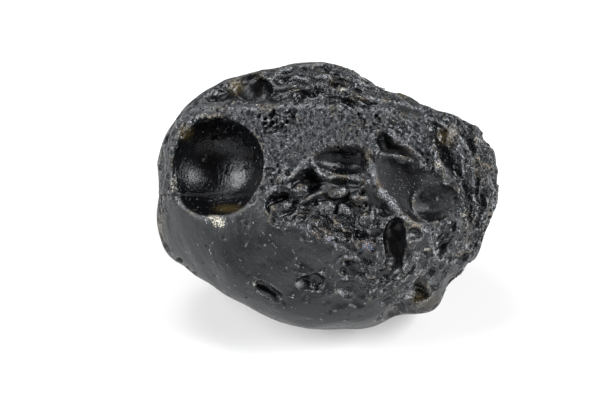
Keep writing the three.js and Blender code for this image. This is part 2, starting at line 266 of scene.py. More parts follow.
SHOW_HOLLOWS: dict[str, Hollow] = {
    "left_pit_high": Hollow((-28.6, 4.8), (1.0, 1.6), 0.6),
    "left_pit_middle": Hollow((-28.4, 2.2), (1.2, 2.2), 0.8),
    "left_pit_low": Hollow((-27.4, -0.6), (1.3, 1.8), 0.8),
    "bowl_notch": Hollow((-13.2, -0.6), (2.2, 1.2), 1.0, turn=20),
    "bowl_notch_side": Hollow((-11.2, 1.1), (1.5, 1.4), 0.9),
    "ledge": Hollow((3.1, 5.5), (9.4, 4.2), 2.2, 0.75, -2, (0, 0.5), lip=0.05, uneven=0.3),
    "under_ledge": Hollow((3.6, 1.9), (6.8, 2.2), 1.2, 0.2, -3, (0, 0.4), lip=0.06),
    "left_scar": Hollow((-3.4, 2.2), (6.0, 4.2), 2.4, 0.2, 32, (0, 0.45), lip=0.06),
    "scar_low": Hollow((-5.1, 0.8), (2.6, 2.8), 0.8, turn=30),
    "pocket": Hollow((-8.0, -1.9), (5.2, 4.6), 2.0, 0.2, 0, (0.1, 0.3), lip=0.06),
    "pocket_hole": Hollow((-8.8, -4.4), (1.9, 1.3), 1.0),
    "patch_hole": Hollow((-4.6, -4.9), (1.4, 1.5), 1.2),
    "mid_scar": Hollow((2.4, -0.9), (4.2, 1.8), 1.0, 0.2, 20, lip=0.06, ripple=0.05),
    "side_cup": Hollow((9.7, -2.8), (2.8, 2.6), 1.2, lip=0.06),
    "patch_left": Hollow((-4.4, -2.8), (3.2, 2.6), 0.8, 0.2, 50, lip=0.06, ripple=0.06),
    "patch_corner": Hollow((8.9, -7.0), (2.6, 3.4), 1.2, 0.2, 20, lip=0.06),
    "patch_right": Hollow((5.6, -7.0), (3.2, 2.2), 1.0, 0.2, lip=0.06),
    "patch_low": Hollow((-1.6, -5.8), (3.4, 1.8), 0.8, 0.2, -25, lip=0.06),
    "patch_foot": Hollow((2.3, -8.3), (3.8, 1.7), 0.8, 0.2, -28, lip=0.06),
    "slot": Hollow((11.7, -8.2), (4.2, 8.4), 3.2, 0.25, 4, lip=0.08, uneven=0.4),
    "slot_side": Hollow((15.2, -6.9), (3.4, 3.0), 1.3, lip=0.08),
    "low_bowl": Hollow((18.8, -1.7), (8.6, 6.4), 2.2, 0.2, 8, (0, 0.25), lip=0.08),
    "nook": Hollow((11.2, 8.9), (6.0, 4.6), 2.8, 0.15, -42, (0, 0.3), lip=0.08, uneven=0.4),
    "right_groove": Hollow((20.8, 7.6), (10.8, 4.8), 3.2, 0.2, -57, (0.1, 0.35), lip=0.08, uneven=0.5),
    "right_dish": Hollow((24.4, 0.4), (3.6, 6.6), 0.9, 0.6, lip=0.08),
    "ring_patch": Hollow((21.0, -8.3), (6.9, 6.7), 1.1, 0.5, lip=0.1),
    "rim_spot": Hollow((27.0, -4.5), (2.2, 2.9), 1.5),
    "brown_mouth": Hollow((16.2, -17.8), (6.4, 4.8), 3.0, turn=20),
    "front_gouge": Hollow((-9.3, -17.4), (8.0, 3.0), 1.3, 0.3, -34, (0, 0.5), lip=0.3),
    "front_dimple": Hollow((-2.4, -15.9), (7.8, 3.2), 0.9, 0.4, -8, (0, 0.5), lip=0.4),
    "shallow_dish": Hollow((-3.4, -12.4), (6.4, 3.0), 0.6, 0.6, -8),
    "twin_ring": Hollow((3.8, -12.6), (5.2, 3.8), 1.0, 0.4, lip=0.08),
    "low_ring": Hollow((2.4, -18.6), (5.2, 4.1), 0.8, 0.5, lip=0.08),
    "rough_high": Hollow((7.6, -11.8), (3.4, 2.6), 1.1),
    "rough_low": Hollow((9.6, -14.0), (3.4, 3.0), 1.3),
    "rough_left": Hollow((6.5, -14.2), (2.9, 2.2), 0.9),
    "rough_right": Hollow((11.0, -11.6), (2.4, 2.4), 1.0),
    "hump_side": Hollow((4.1, -15.1), (3.8, 1.7), 0.7, lean=(0, 0.3)),
    "band_crater": Hollow((-12.8, 18.6), (6.2, 7.0), 3.8, 0.1, 0, (-0.35, 0.3), lip=0.1, uneven=0.4),
    "band_crescent": Hollow((-3.8, 17.8), (5.6, 3.4), 2.2, 0.2, lean=(0, 0.3), lip=0.08),
    "band_fold": Hollow((-7.8, 20.2), (3.4, 2.2), 1.4, 0.2, 20, (0, 0.3), lip=0.08),
    "band_dome_side": Hollow((0.6, 19.6), (4.2, 2.8), 1.4, 0.2, -40, (0, 0.3), lip=0.08),
    "band_hole": Hollow((3.0, 16.3), (3.2, 1.9), 1.8, 0.2, -20, (0, 0.2), lip=0.08),
    "band_right_fold": Hollow((6.4, 18.6), (3.6, 2.6), 1.3, 0.2, -35, (0, 0.3), lip=0.08),
    "band_left_dish": Hollow((-19.0, 17.4), (6.0, 3.4), 0.9, 0.5, 20),
    "band_right_dish": Hollow((10.5, 16.6), (6.4, 3.2), 1.0, 0.4, -18),
}

HIDDEN_HOLLOWS: dict[str, Hollow] = {
    name: Hollow(*sizes, side=Side.HIDDEN)
    for name, sizes in {
        "back_bowl": ((8, 12), (15, 12), 3.6, 0.4, 20),
        "back_cup": ((-12, 13.5), (8.6, 8), 3.2),
        "back_pit": ((-2.5, 18), (5, 4.6), 1.8),
        "back_gouge": ((20, 7), (10, 4.4), 2.2, 0.3, -50),
        "back_hollow": ((-5, 2.5), (13, 9), 2.6, 0.5, 10),
        "left_back_cup": ((-22, 7), (9, 7.4), 2.8, 0.35, 60),
        "under_cup": ((12, -9), (7.6, 6.4), 2.2),
        "under_gouge": ((-17, -7), (8.6, 4.2), 1.8, 0.3, 30),
        "right_back_cup": ((23.5, -4), (7.6, 8.6), 2.4, 0.4),
    }.items()
}


@dataclass(frozen=True)
class CraterZone:
    """A patch of skin that acid ate into small craters which run into each other.

    `middle` and `reach` are across and up in mm. `radii` and `deepness` are the least and
    greatest radius in mm and depth as a share of the radius. In a `streaked` zone they are
    long along the outline. None lies more than `deepest` mm below the skin of the lump.
    """

    middle: tuple[float, float]
    reach: tuple[float, float]
    count: int
    radii: tuple[float, float]
    deepness: tuple[float, float]
    seed: int
    side: Side = Side.SHOW
    streaked: bool = False
    deepest: float = 1.2
    jitter: float = 0.3
    small_bias: float = 1.6
    stretches: tuple[float, float] = (0.7, 1.4)
    fullnesses: tuple[float, float] = (0.15, 0.5)
    tilt: float = 0.25
    lip: float = 0.07

    def crater(self, index: int, draw: np.random.Generator, lump: Lump) -> Hollow:
        """One crater, near its place on a spiral that fills the zone.

        Args:
            index: its number.
            draw: gives what varies.
            lump: keeps it within the outline.

        Returns:
            The crater.
        """
        turn = index * GOLDEN_ANGLE + draw.normal(0, self.jitter)
        away = math.sqrt((index + draw.uniform()) / self.count)
        bearing = np.array((math.cos(turn), math.sin(turn)))
        place = np.array(self.middle) + away * np.array(self.reach) * bearing
        rim = EDGE_MARGIN * float(lump.outline_radius(np.degrees(np.arctan2(place[1], place[0]))))
        place *= min(1.0, rim / np.linalg.norm(place))
        least, greatest = self.radii
        radius = least * (greatest / least) ** (draw.uniform() ** self.small_bias)
        stretch, turn = draw.uniform(*self.stretches), draw.uniform(0, 180)
        if self.streaked:
            outward = np.degrees(math.atan2(place[1], place[0]))
            stretch, turn = 0.9 + stretch / 2, outward + 80 + turn / 9
        return Hollow(
            at=tuple(place),
            mouth=(2 * radius * stretch, 2 * radius / stretch),
            depth=radius * draw.uniform(*self.deepness),
            fullness=draw.uniform(*self.fullnesses),
            turn=turn,
            lean=tuple(draw.normal(0, self.tilt, 2)),
            side=self.side,
            lip=self.lip,
        )

    def hollows(self, stone: "CarvedLump") -> list[Hollow]:
        """Craters of the zone, the same on each run.

        Args:
            stone: what they are etched into.

        Returns:
            One hollow for each crater, without those in the clean glass of deep hollows.
        """
        draw = np.random.default_rng(self.seed)
        craters = [self.crater(index, draw, stone.lump) for index in range(self.count)]
        places = np.array([crater.at for crater in craters])
        skin = stone.skin_points(places, np.full(len(places), self.side.value))
        sunk = -stone.lump.outside_by(skin)
        return [crater for crater, depth in zip(craters, sunk) if depth < self.deepest]


CRATER_ZONES: dict[str, CraterZone] = {
    "band": CraterZone((3, 20), (19, 3.8), 100, (0.7, 1.8), (0.5, 0.95), 11, streaked=True),
    "band_fine": CraterZone((2, 20.0), (23, 4.4), 240, (0.4, 0.8), (0.6, 1.1), 12, streaked=True),
    "band_left": CraterZone((-19, 17.5), (8, 2.6), 50, (0.3, 0.9), (0.4, 0.9), 31),
    "bowl_rim": CraterZone((-22, 12.5), (8, 2.6), 50, (0.25, 0.7), (0.4, 0.9), 32),
    "bowl_left": CraterZone((-28.4, 3), (1.8, 8), 60, (0.25, 0.8), (0.4, 0.9), 33),
    "top_pits": CraterZone((0, 11.8), (15, 4.0), 230, (0.26, 0.46), (0.8, 1.4), 34),
    "bowl_right": CraterZone((-8.8, 8), (3.6, 7), 110, (0.26, 0.46), (0.8, 1.4), 41),
    "foot_left": CraterZone((-6.6, -4.3), (3.6, 1.0), 26, (0.3, 0.9), (0.7, 1.3), 42),
    "foot_right": CraterZone((0.0, -7.0), (4.6, 1.6), 36, (0.3, 0.8), (0.6, 1.2), 43),
    "below_pits": CraterZone((-12, -12), (16, 8), 26, (0.22, 0.6), (0.15, 0.5), 35),
    "right_rim": CraterZone((27.0, 2), (4.5, 13), 90, (0.7, 1.9), (0.5, 0.95), 13, streaked=True),
    "right_fine": CraterZone((27, 2), (5.5, 14), 190, (0.4, 0.8), (0.6, 1.1), 14, streaked=True),
    "upper_right": CraterZone((19.5, 12), (8, 3.6), 80, (0.5, 1.4), (0.5, 0.95), 15, streaked=True),
    "ridge_pits": CraterZone((17.5, 7.0), (3.6, 3.4), 40, (0.3, 0.7), (0.5, 0.9), 40),
    "rubble": CraterZone((4.6, -8.0), (4.6, 1.9), 60, (0.3, 0.7), (0.6, 1.2), 16, deepest=9.0),
    "patch_fine": CraterZone((1.6, -3.4), (9, 6), 34, (0.25, 0.5), (0.5, 0.9), 18, deepest=9.0),
    "low_right": CraterZone((10, -14), (8, 5), 80, (0.6, 1.9), (0.35, 0.8), 38),
    "low_front": CraterZone((1, -15), (8, 5), 36, (0.4, 1.5), (0.12, 0.4), 39),
    "right_lower": CraterZone((22, -10), (6.5, 7), 80, (0.5, 1.7), (0.35, 0.8), 19, streaked=True),
    "back": CraterZone((0, 9), (26, 12), 130, (0.6, 2.4), (0.3, 0.8), 21, Side.HIDDEN),
    "back_fine": CraterZone((2, 10), (26, 12), 260, (0.35, 0.8), (0.5, 1.0), 22, Side.HIDDEN),
    "underside": CraterZone((2, -10), (24, 9), 60, (0.5, 1.9), (0.3, 0.7), 23, Side.HIDDEN),
}


@dataclass(frozen=True)
class Crest:
    """A worn ridge of the show side that runs along a path, in [across, up] mm.

    `level` is how far its top lies under the skin that the lump had before etching,
    `radius` is that of its rounded top, and `flare` is how much it widens for each mm
    further down, to `foot` mm under the top. The whitening of its top, frost together with
    a painted highlight, is 0 to 1, and `halo` is how far it reaches past the top.
    """

    path: tuple[tuple[float, float], ...]
    level: float
    radius: float = 0.35
    flare: float = 0.45
    foot: float = 2.2
    frost_and_glint: float = 0.7
    halo: float = 0.25
    spacing: float = 0.3
    fade: float = 1.2

    def places(self) -> tuple[Array, Array]:
        """The path in steps of `spacing`.

        Returns:
            Points along it, and how whole the ridge is at each: 1, and towards 0 at both
            ends, where it dies away.
        """
        corners = np.array(self.path, float)
        lengths = np.linalg.norm(np.diff(corners, axis=0), axis=1)
        along = np.concatenate(((0,), np.cumsum(lengths)))
        stations = np.linspace(0, along[-1], round(along[-1] / self.spacing) + 1)
        points = np.column_stack([np.interp(stations, along, corners[:, axis]) for axis in (0, 1)])
        first, last, bluntness = 0.03, 0.97, 0.4
        return points, np.sin(math.pi * np.linspace(first, last, len(stations))) ** bluntness

    def nearness(self, points: Array) -> Array:
        """How near show-frame points are to the top of the ridge, 0 to 1."""
        places, whole = self.places()
        reach = self.radius + self.halo
        flat = points[:, :2]
        near = ((flat > places.min(0) - reach) & (flat < places.max(0) + reach)).all(1)
        near &= points[:, 2] > 0
        nearness = np.zeros(len(points))
        away = np.linalg.norm(flat[near][:, None] - places, axis=-1)
        strength = self.frost_and_glint * whole[away.argmin(1)]
        steepness = 1.4
        nearness[near] = strength * np.clip(steepness - steepness * away.min(1) / reach, 0, 1)
        return nearness


CRESTS: dict[str, Crest] = {
    "band_edge": Crest(
        ((-27.5, 12.0), (-23.0, 15.4), (-18.6, 15.0), (-13.6, 14.9), (-9.9, 15.6), (-5.4, 15.4),
         (-1.5, 15.6), (4.3, 14.8), (9.1, 14.8), (15.8, 13.5)), -0.2, 0.35, 0.3, 0.7, frost_and_glint=0.5),
    "bowl_side": Crest(
        ((7.0, 7.6), (7.6, 5.2), (8.2, 3.0), (9.4, 0.6), (11.4, -2.0), (14.2, -4.6), (17.4, -6.3)),
        0.15, 0.5, 0.35, 3.5, frost_and_glint=1.0),
    "nook_edge": Crest(((10.6, 11.2), (13.2, 9.2), (15.2, 7.4), (17.5, 5.4)), 0.2, 0.4),
    "nook_lip": Crest(((8.4, 7.3), (11.6, 6.8), (14.8, 6.0)), 1.0, 0.2, 0.4, 0.9),
    "groove_edge": Crest(((18.0, 9.4), (19.0, 6.8), (20.2, 4.9), (21.4, 3.2)), 0.1, 0.4),
    "low_bowl_arc": Crest(((16.4, 1.0), (15.2, -0.6), (15.0, -2.4), (16.2, -4.4)), 3.4, 0.1, 0.4, 0.8),
    "patch_brow": Crest(((-10.6, 0.4), (-8.2, 2.4), (-6.2, 3.7), (-4.4, 5.4), (-2.5, 7.0)), 0.1, 0.35),
    "ledge_edge": Crest(((-2.9, 6.6), (-2.2, 4.8), (-1.2, 3.6), (0.0, 3.0)), 0.9, 0.3),
    "under_ledge_arc": Crest(((-0.9, 2.9), (1.4, 3.3), (3.6, 3.2), (6.4, 2.2)), 1.6, 0.15, 0.6),
    "thin_line": Crest(((-5.3, -1.9), (-3.4, -0.7), (-1.2, 0.7)), 0.7, 0.1, 0.6, frost_and_glint=0.6),
    "twin_ring_arc": Crest(((1.8, -11.5), (3.4, -10.8), (5.4, -11.2), (6.4, -12.6)), 0.1, 0.25),
    "low_ring_arc": Crest(((1.2, -17.3), (2.3, -16.8), (3.9, -17.3)), 0.0, 0.25),
    "patch_foot_edge": Crest(
        ((-10.4, -4.4), (-6.8, -5.0), (-3.6, -6.2), (-0.4, -7.8), (3.0, -9.4)), 0.1, 0.2, 0.4,
        frost_and_glint=0.25),
    "band_line": Crest(((4.3, 17.2), (8.6, 16.8), (13.0, 16.2), (17.4, 14.8)), 0.0, 0.3),
    "band_high_line": Crest(((-6.8, 21.4), (-3.2, 20.2), (0.4, 18.8), (4.6, 18.4)), 0.1, 0.3),
    "outer_line": Crest(((17.6, 13.6), (20.6, 12.6), (23.6, 10.2), (25.8, 7.0), (26.6, 3.4)), 0.1),
    "ring_line": Crest(
        ((18.2, -5.2), (17.8, -8.2), (19.2, -11.2), (22.2, -12.0), (24.4, -9.6), (24.6, -6.0)),
        0.1, 0.3),
    "low_lip": Crest(((18.6, -14.4), (17.6, -16.0), (18.4, -18.0)), 0.2),
}


@dataclass(frozen=True)
class Lobe:
    """A smooth swelling of glass that etching left standing, part of an ellipsoid.

    `at` is its middle and `size` its length and width, across and up in mm. `level` is
    how far its top lies under the skin that the lump had before etching, and `rise` is
    how far its middle lies under its top.
    """

    at: tuple[float, float]
    size: tuple[float, float]
    level: float
    rise: float = 1.4
    turn: float = 0.0
    ripple: float = 0.0
    side: Side = Side.SHOW
    lean: tuple[float, float] = (0.0, 0.0)
    lip: float = 0.15
    uneven: float = 1.0

    def radii(self) -> tuple[float, float, float]:
        """Radii of the whole ellipsoid."""
        length, width = self.size
        return length / 2, width / 2, self.rise

    def lift(self) -> float:
        """How far the ellipsoid's middle lies above the surface, here below it."""
        return -self.rise


LOBES: dict[str, Lobe] = {
    "pocket_lobe": Lobe((-8.6, -2.6), (4.4, 3.6), 0.8, 2.0, 30, ripple=0.06),
    "scar_lobe": Lobe((-5.1, 0.6), (4.6, 3.2), 0.7, 2.0, 55, ripple=0.06),
    "crust_lobe": Lobe((1.6, 0.4), (3.4, 2.0), 1.1, 1.2, 10),
    "middle_lobe": Lobe((5.8, -0.6), (4.2, 3.4), 1.2, 2.2, -20, ripple=0.03),
    "left_lobe": Lobe((-0.8, -2.2), (4.8, 3.0), 1.3, 2.0, 20, ripple=0.05),
    "diagonal_lobe": Lobe((2.6, -5.3), (7.4, 2.4), 1.0, 2.0, -37, ripple=0.04),
    "small_lobe": Lobe((3.0, -2.6), (3.0, 2.0), 1.6, 1.6, -50, ripple=0.03),
    "corner_lobe": Lobe((6.9, -4.2), (3.4, 2.6), 1.6, 1.8, 40),
    "low_lobe": Lobe((-2.6, -4.9), (3.4, 1.8), 0.9, 1.4, -20),
    "inner_dome": Lobe((19.2, 2.6), (8.4, 5.6), 2.4, 3.0, -30, lip=1.0),
    "knob": Lobe((17.7, 5.7), (3.6, 2.6), 0.0, 1.4, -40),
    "band_dome": Lobe((-1.0, 21.4), (4.6, 2.8), -0.2, 1.4, -20),
    "band_scab": Lobe((2.3, 18.1), (2.3, 1.8), -0.3, 1.0, 20),
    "band_lump": Lobe((7.2, 19.4), (3.0, 2.0), -0.2, 1.0, -30),
    "rim_lump_high": Lobe((26.8, 7.4), (3.4, 4.4), -0.1, 1.6, 20),
    "rim_lump": Lobe((28.6, 1.6), (3.0, 4.6), -0.1, 1.6),
    "low_lump": Lobe((19.6, -15.6), (4.0, 3.6), -0.3, 1.8),
}


@dataclass(frozen=True)
class RimNotch:
    """A groove from front to back that notches the outline.

    `angle` runs from `across` towards `up` in degrees; `width` and `depth` are in mm.
    """

    angle: float
    width: float
    depth: float
    front_to_back: float = 13.0

    def hollow(self, lump: Lump) -> Hollow:
        """The notch as a hollow on the stone's edge."""
        edge = EDGE_MARGIN * float(lump.outline_radius(np.array(self.angle)))
        turn = math.radians(self.angle)
        return Hollow(
            at=(edge * math.cos(turn), edge * math.sin(turn)),
            mouth=(self.width, self.front_to_back),
            depth=self.depth,
            turn=self.angle + 90,
        )


RIM_NOTCHES = tuple(
    RimNotch(*sizes)
    for sizes in (
        (5.5, 3.4, 1.6), (19, 2.6, 0.9), (29, 2.4, 0.7), (37, 2.2, 0.9), (43, 2.2, 1.0),
        (50, 2.6, 0.9), (58, 3.2, 0.7), (71, 3.6, 0.8), (298, 3.6, 1.2), (325, 3.4, 0.9),
        (333, 2.2, 0.7), (349, 3.0, 0.8),
    )
)


@dataclass(frozen=True)
class NibbledRim:
    """A stretch of the outline with many small notches, between two angles in degrees."""

    start: float
    stop: float
    count: int
    seed: int

    def notches(self) -> list[RimNotch]:
        """The notches, the same on each run."""
        draw = np.random.default_rng(self.seed)
        return [
            RimNotch(
                angle=self.start + (self.stop - self.start) * (index + draw.uniform()) / self.count,
                width=draw.uniform(0.9, 2.6),
                depth=draw.uniform(0.3, 0.9),
                front_to_back=draw.uniform(2.0, 6.0),
            )
            for index in range(self.count)
        ]


NIBBLED_RIMS = (NibbledRim(-65, 80, 44, 51), NibbledRim(150, 215, 14, 52))


class Ellipsoids:
    """Ellipsoids placed on a stone, to cut hollows or add lobes. Arrays, one row each."""

    def __init__(self, stone: "CarvedLump", shapes: Sequence[Hollow] | Sequence[Lobe]) -> None:
        """Stand each shape's axis on the stone's surface.

        Args:
            stone: what the shapes are placed on, as it is before them.
            shapes: hollows or lobes.
        """
        sides = np.array([shape.side.value for shape in shapes])
        points = stone.skin_points(np.array([shape.at for shape in shapes], float), sides)
        lean = np.array([(*shape.lean, 0.0) for shape in shapes])
        normals = unit(stone.skin_normals(points) + lean)
        turn = np.radians([shape.turn for shape in shapes])
        wide = np.column_stack((np.cos(turn), np.sin(turn), np.zeros(len(turn))))
        wide = unit(wide - normals * (wide * normals).sum(1)[:, None])
        high = np.cross(normals, wide)
        self.axes = np.stack((wide, high, normals), axis=1)
        self.radii = np.array([shape.radii() for shape in shapes])
        self.centres = points + normals * np.array([shape.lift() for shape in shapes])[:, None]
        self.centres[:, 2] -= sides * np.array([shape.level for shape in shapes])
        self.lips = [shape.lip for shape in shapes]
        self.uneven = [shape.uneven for shape in shapes]
        self.ripples = [shape.ripple for shape in shapes]

    def __len__(self) -> int:
        """How many ellipsoids there are."""
        return len(self.lips)

    def depth_inside(self, index: int, points: Array) -> Array:
        """How deep points lie inside one ellipsoid, negative outside, in mm.

        Args:
            index: the ellipsoid's row.
            points: positions in the show frame, along the last axis.

        Returns:
            Depths, of the shape of `points` without its last axis.
        """
        local = (points - self.centres[index]) @ (self.axes[index].T / self.radii[index])
        scaled = np.linalg.norm(local, axis=-1)
        steepness = np.linalg.norm(local / self.radii[index], axis=-1)
        depth = scaled * (1 - scaled) / np.maximum(steepness, 1e-6)
        if self.ripples[index]:
            ripple_length, to_edge = 0.9, (0.8, 0.6, 0)
            from_edge = np.linalg.norm((local + to_edge) * self.radii[index], axis=-1)
            depth += self.ripples[index] * np.sin(from_edge * (2 * math.pi / ripple_length))
        return depth


class CarvedLump:
    """The lump with the hollows that are cut into it so far, as an exact field."""

    def __init__(self, lump: Lump) -> None:
        """Start from the lump alone."""
        self.lump = lump
        self.cuts: list[Ellipsoids] = []

    def outside_by(self, points: Array) -> Array:
        """How far points lie outside the glass, negative inside, in mm."""
        field = self.lump.outside_by(points)
        for cutters in self.cuts:
            for index in range(len(cutters)):
                field = np.maximum(field, cutters.depth_inside(index, points))
        return field

    def skin_points(self, places: Array, sides: Array) -> Array:
        """Points of the surface that are seen at [across, up].

        Args:
            places: across and up of each point, in mm.
            sides: 1 for the show side or -1 for the hidden side, for each point.

        Returns:
            Points in the show frame, one row each.
        """
        inside = np.zeros(len(places))
        outside = sides * (self.lump.front_depth + self.lump.back_depth)
        halvings = 22
        for _ in range(halvings):
            middle = (inside + outside) / 2
            solid = self.outside_by(np.column_stack((places, middle))) < 0
            inside = np.where(solid, middle, inside)
            outside = np.where(solid, outside, middle)
        return np.column_stack((places, inside))

    def skin_normals(self, points: Array, reach: float = 1.5) -> Array:
        """Outward directions of the surface, averaged over `reach` mm each way."""
        slopes = [
            self.outside_by(points + step) - self.outside_by(points - step)
            for step in np.eye(3) * reach
        ]
        return unit(np.stack(slopes, axis=1))

    def cut(self, hollows: Sequence[Hollow]) -> None:
        """Cut hollows into the surface as it is now."""
        self.cuts.append(Ellipsoids(self, hollows))


# ---- the field and its mesh ---------------------------------------------------------------


def smooth_max(one: Array, other: Array, rounding: float) -> Array:
    """The greater of two fields, with the crease rounded over `rounding` mm."""
    overlap = np.maximum(rounding - np.abs(one - other), 0)
    return np.maximum(one, other) + overlap * overlap / (4 * rounding)


class FieldGrid:
    """A box of evenly spaced field values round the stone, negative in the glass."""

    LOW = np.array((-35.0, -27.0, -REST_HEIGHT - 1.0))
    HIGH = np.array((35.0, 27.0, 25.0))
    COARSENESS = 3

    def __init__(self, step: float) -> None:
        """Set the spacing of the finest values.

        Args:
            step: distance between neighbouring values in mm.
        """
        self.step = step
        coarse_step = step * self.COARSENESS
        self.coarse_count = np.ceil((self.HIGH - self.LOW) / coarse_step).astype(int) + 1
        self.values = np.zeros(0, np.float32)
        self.shift = np.zeros(0, np.float32)
        self.near_skin = np.zeros(0, bool)

    def positions(self, start: Array, stop: Array, step: float) -> Array:
        """Show-frame positions of a block of values, with x, y, z as its first axes."""
        ticks = [low + np.arange(a, b) * step for low, a, b in zip(self.LOW, start, stop)]
        return np.stack(np.meshgrid(*ticks, indexing="ij"), axis=-1) @ SHOW_AXES.T

    def fill(self, stone: CarvedLump, wander: Callable[[Array], Array]) -> None:
        """Fill the grid with the lump, exactly near the skin and roughly elsewhere.

        Args:
            stone: the lump, and the hollows that the rough pass must not miss.
            wander: how far each position is shifted before a hollow is tested there, so
                that rims run unevenly.
        """
        coarse_step = self.step * self.COARSENESS
        places = self.positions(np.zeros(3, int), self.coarse_count, coarse_step)
        flat = places.reshape(-1, 3)
        lump = stone.lump
        self.values = lump.outside_by(flat).astype(np.float32).reshape(self.coarse_count)
        for cutters in stone.cuts:
            self.carve(cutters, coarse_step)
        coarse_steps, slack = 1.9, 0.6
        near = np.abs(self.values) < coarse_steps * coarse_step + slack
        for axis in range(3):
            near |= np.roll(near, -1, axis)
        self.values = self.refined(self.values)
        self.near_skin = self.refined(near)
        indices = np.argwhere(self.near_skin)
        points = (indices * self.step + self.LOW) @ SHOW_AXES.T
        self.values[self.near_skin] = lump.outside_by(points)
        self.shift = np.zeros((*self.values.shape, 3), np.float32)
        self.shift[self.near_skin] = wander(points)

    def refined(self, values: Array) -> Array:
        """Each coarse value repeated over the fine values that it stands for."""
        for axis in range(3):
            values = np.repeat(values, self.COARSENESS, axis)
        return values

    def block_round(self, centre: Array, reach: float, step: float) -> tuple[Array, Array]:
        """The first values and the ones past the last within `reach` mm of a point."""
        start = np.maximum(np.floor((centre - reach - self.LOW) / step).astype(int), 0)
        stop = np.ceil((centre + reach - self.LOW) / step).astype(int) + 1
        return start, np.minimum(stop, self.values.shape)

    def carve(self, cutters: Ellipsoids, step: float, add: bool = False) -> None:
        """Cut hollows into the field, or add lobes to it, each within its own small block.

        Args:
            cutters: the hollows or lobes.
            step: the spacing of the values that the grid holds at the time.
            add: whether they are lobes.
        """
        sign = -1 if add else 1
        spare = 0.8
        for index in range(len(cutters)):
            margin = spare + cutters.lips[index]
            centre = cutters.centres[index] @ SHOW_AXES
            reach = cutters.radii[index].max() + margin
            start, stop = self.block_round(centre, reach, step)
            if (stop <= start).any():
                continue
            block = tuple(slice(a, b) for a, b in zip(start, stop))
            points = self.positions(start, stop, step)
            if step == self.step:
                points = points + self.shift[block] * cutters.uneven[index]
            depth = cutters.depth_inside(index, points).astype(np.float32)
            joined = smooth_max(sign * self.values[block], depth, cutters.lips[index])
            self.values[block] = sign * joined

    def raise_crest(self, crest: Crest, bare: CarvedLump) -> None:
        """Add a ridge to the field, as upright pegs in a row that melt into each other.

        Args:
            crest: the ridge.
            bare: the lump before etching, which gives the ridge its level.
        """
        places, whole = crest.places()
        points = bare.skin_points(places, np.full(len(places), Side.SHOW.value))
        normals = bare.skin_normals(points)
        tops = points - normals * (crest.radius + crest.fade * (1 - whole))[:, None]
        tops[:, 2] -= crest.level
        reach = crest.radius + crest.foot * (1 + crest.flare)
        for top, normal in zip(tops, normals):
            start, stop = self.block_round(top @ SHOW_AXES, reach, self.step)
            block = tuple(slice(a, b) for a, b in zip(start, stop))
            offset = self.positions(start, stop, self.step) + self.shift[block] - top
            under = np.clip(-(offset @ normal), 0, crest.foot)
            away = np.linalg.norm(offset + under[..., None] * normal, axis=-1)
            outside = (away - crest.radius - crest.flare * under).astype(np.float32)
            self.values[block] = -smooth_max(-self.values[block], -outside, crest.radius * 0.5)

    def flatten_base(self) -> None:
        """Cut the underside off level at the rest height."""
        heights = self.LOW[2] + np.arange(self.values.shape[2]) * self.step
        below = (-heights - REST_HEIGHT).astype(np.float32)
        self.values = np.maximum(self.values, below[None, None, :])

    def join_corners(self) -> None:
        """Fill in where glass would meet itself along a bare edge, which no mesh can close."""
        filled_depth = 0.02
        rounds = 6
        for first, second in [*itertools.combinations(range(3), 2)] * rounds:
            corners = []
            for offset in itertools.product((0, 1), repeat=2):
                part = [slice(None)] * 3
                for axis, start in zip((first, second), offset):
                    part[axis] = slice(start, self.values.shape[axis] - 1 + start)
                corners.append(self.values[tuple(part)])
            solid = [corner < 0 for corner in corners]
            bare = (solid[0] == solid[3]) & (solid[1] == solid[2]) & (solid[0] != solid[1])
            for corner in corners:
                corner[bare] = np.minimum(corner[bare], -filled_depth)

    def mesh(self) -> tuple[Array, Array]:
        """Mesh of the surface where the field is zero, by the surface nets method.

        Returns:
            Corners in mm, level with the heart, and quads that face outwards.
        """
        values, solid = self.values, self.values < 0
        steps = np.array(list(itertools.product((0, 1), repeat=3)))
        size = np.array(values.shape) - 1

        def corner(field: Array, offset: Array) -> Array:
            """One corner's values for all cells."""
            return field[tuple(slice(a, a + n) for a, n in zip(offset, size))]

        filled = sum(corner(solid, offset).astype(np.int8) for offset in steps)
        crossed = (filled > 0) & (filled < len(steps))
        cells = np.argwhere(crossed)
        number = np.full(crossed.shape, -1, np.int32)
        number[crossed] = np.arange(len(cells))
        at_corners = np.stack([corner(values, offset)[crossed] for offset in steps], axis=1)
        total = np.zeros((len(cells), 3))
        crossings = np.zeros(len(cells))
        for a, b in itertools.combinations(range(len(steps)), 2):
            if np.abs(steps[a] - steps[b]).sum() != 1:
                continue
            first, second = at_corners[:, a], at_corners[:, b]
            differs = (first < 0) != (second < 0)
            part = np.where(differs, first / np.where(differs, first - second, 1), 0)
            total += differs[:, None] * (steps[a] + part[:, None] * (steps[b] - steps[a]))
            crossings += differs
        corners = (cells + total / crossings[:, None]) * self.step + self.LOW
        return corners, np.concatenate([self.quads_along(axis, solid, number) for axis in range(3)])

    @staticmethod
    def quads_along(axis: int, solid: Array, number: Array) -> Array:
        """Quads across each grid edge along one axis where the glass starts or ends."""
        low, high = [slice(1, -1)] * 3, [slice(1, -1)] * 3
        low[axis], high[axis] = slice(0, -1), slice(1, None)
        starts, ends = solid[tuple(low)], solid[tuple(high)]
        changes = starts != ends
        offset = np.ones(3, int)
        offset[axis] = 0
        edge = np.argwhere(changes) + offset
        second, third = (axis + 1) % 3, (axis + 2) % 3
        ring = []
        for back in ((1, 1), (0, 1), (0, 0), (1, 0)):
            cell = edge.copy()
            cell[:, second] -= back[0]
            cell[:, third] -= back[1]
            ring.append(number[tuple(cell.T)])
        quads = np.stack(ring, axis=1)
        inward = ~starts[changes]
        quads[inward] = quads[inward][:, ::-1]
        return quads


# ---- nodes --------------------------------------------------------------------------------


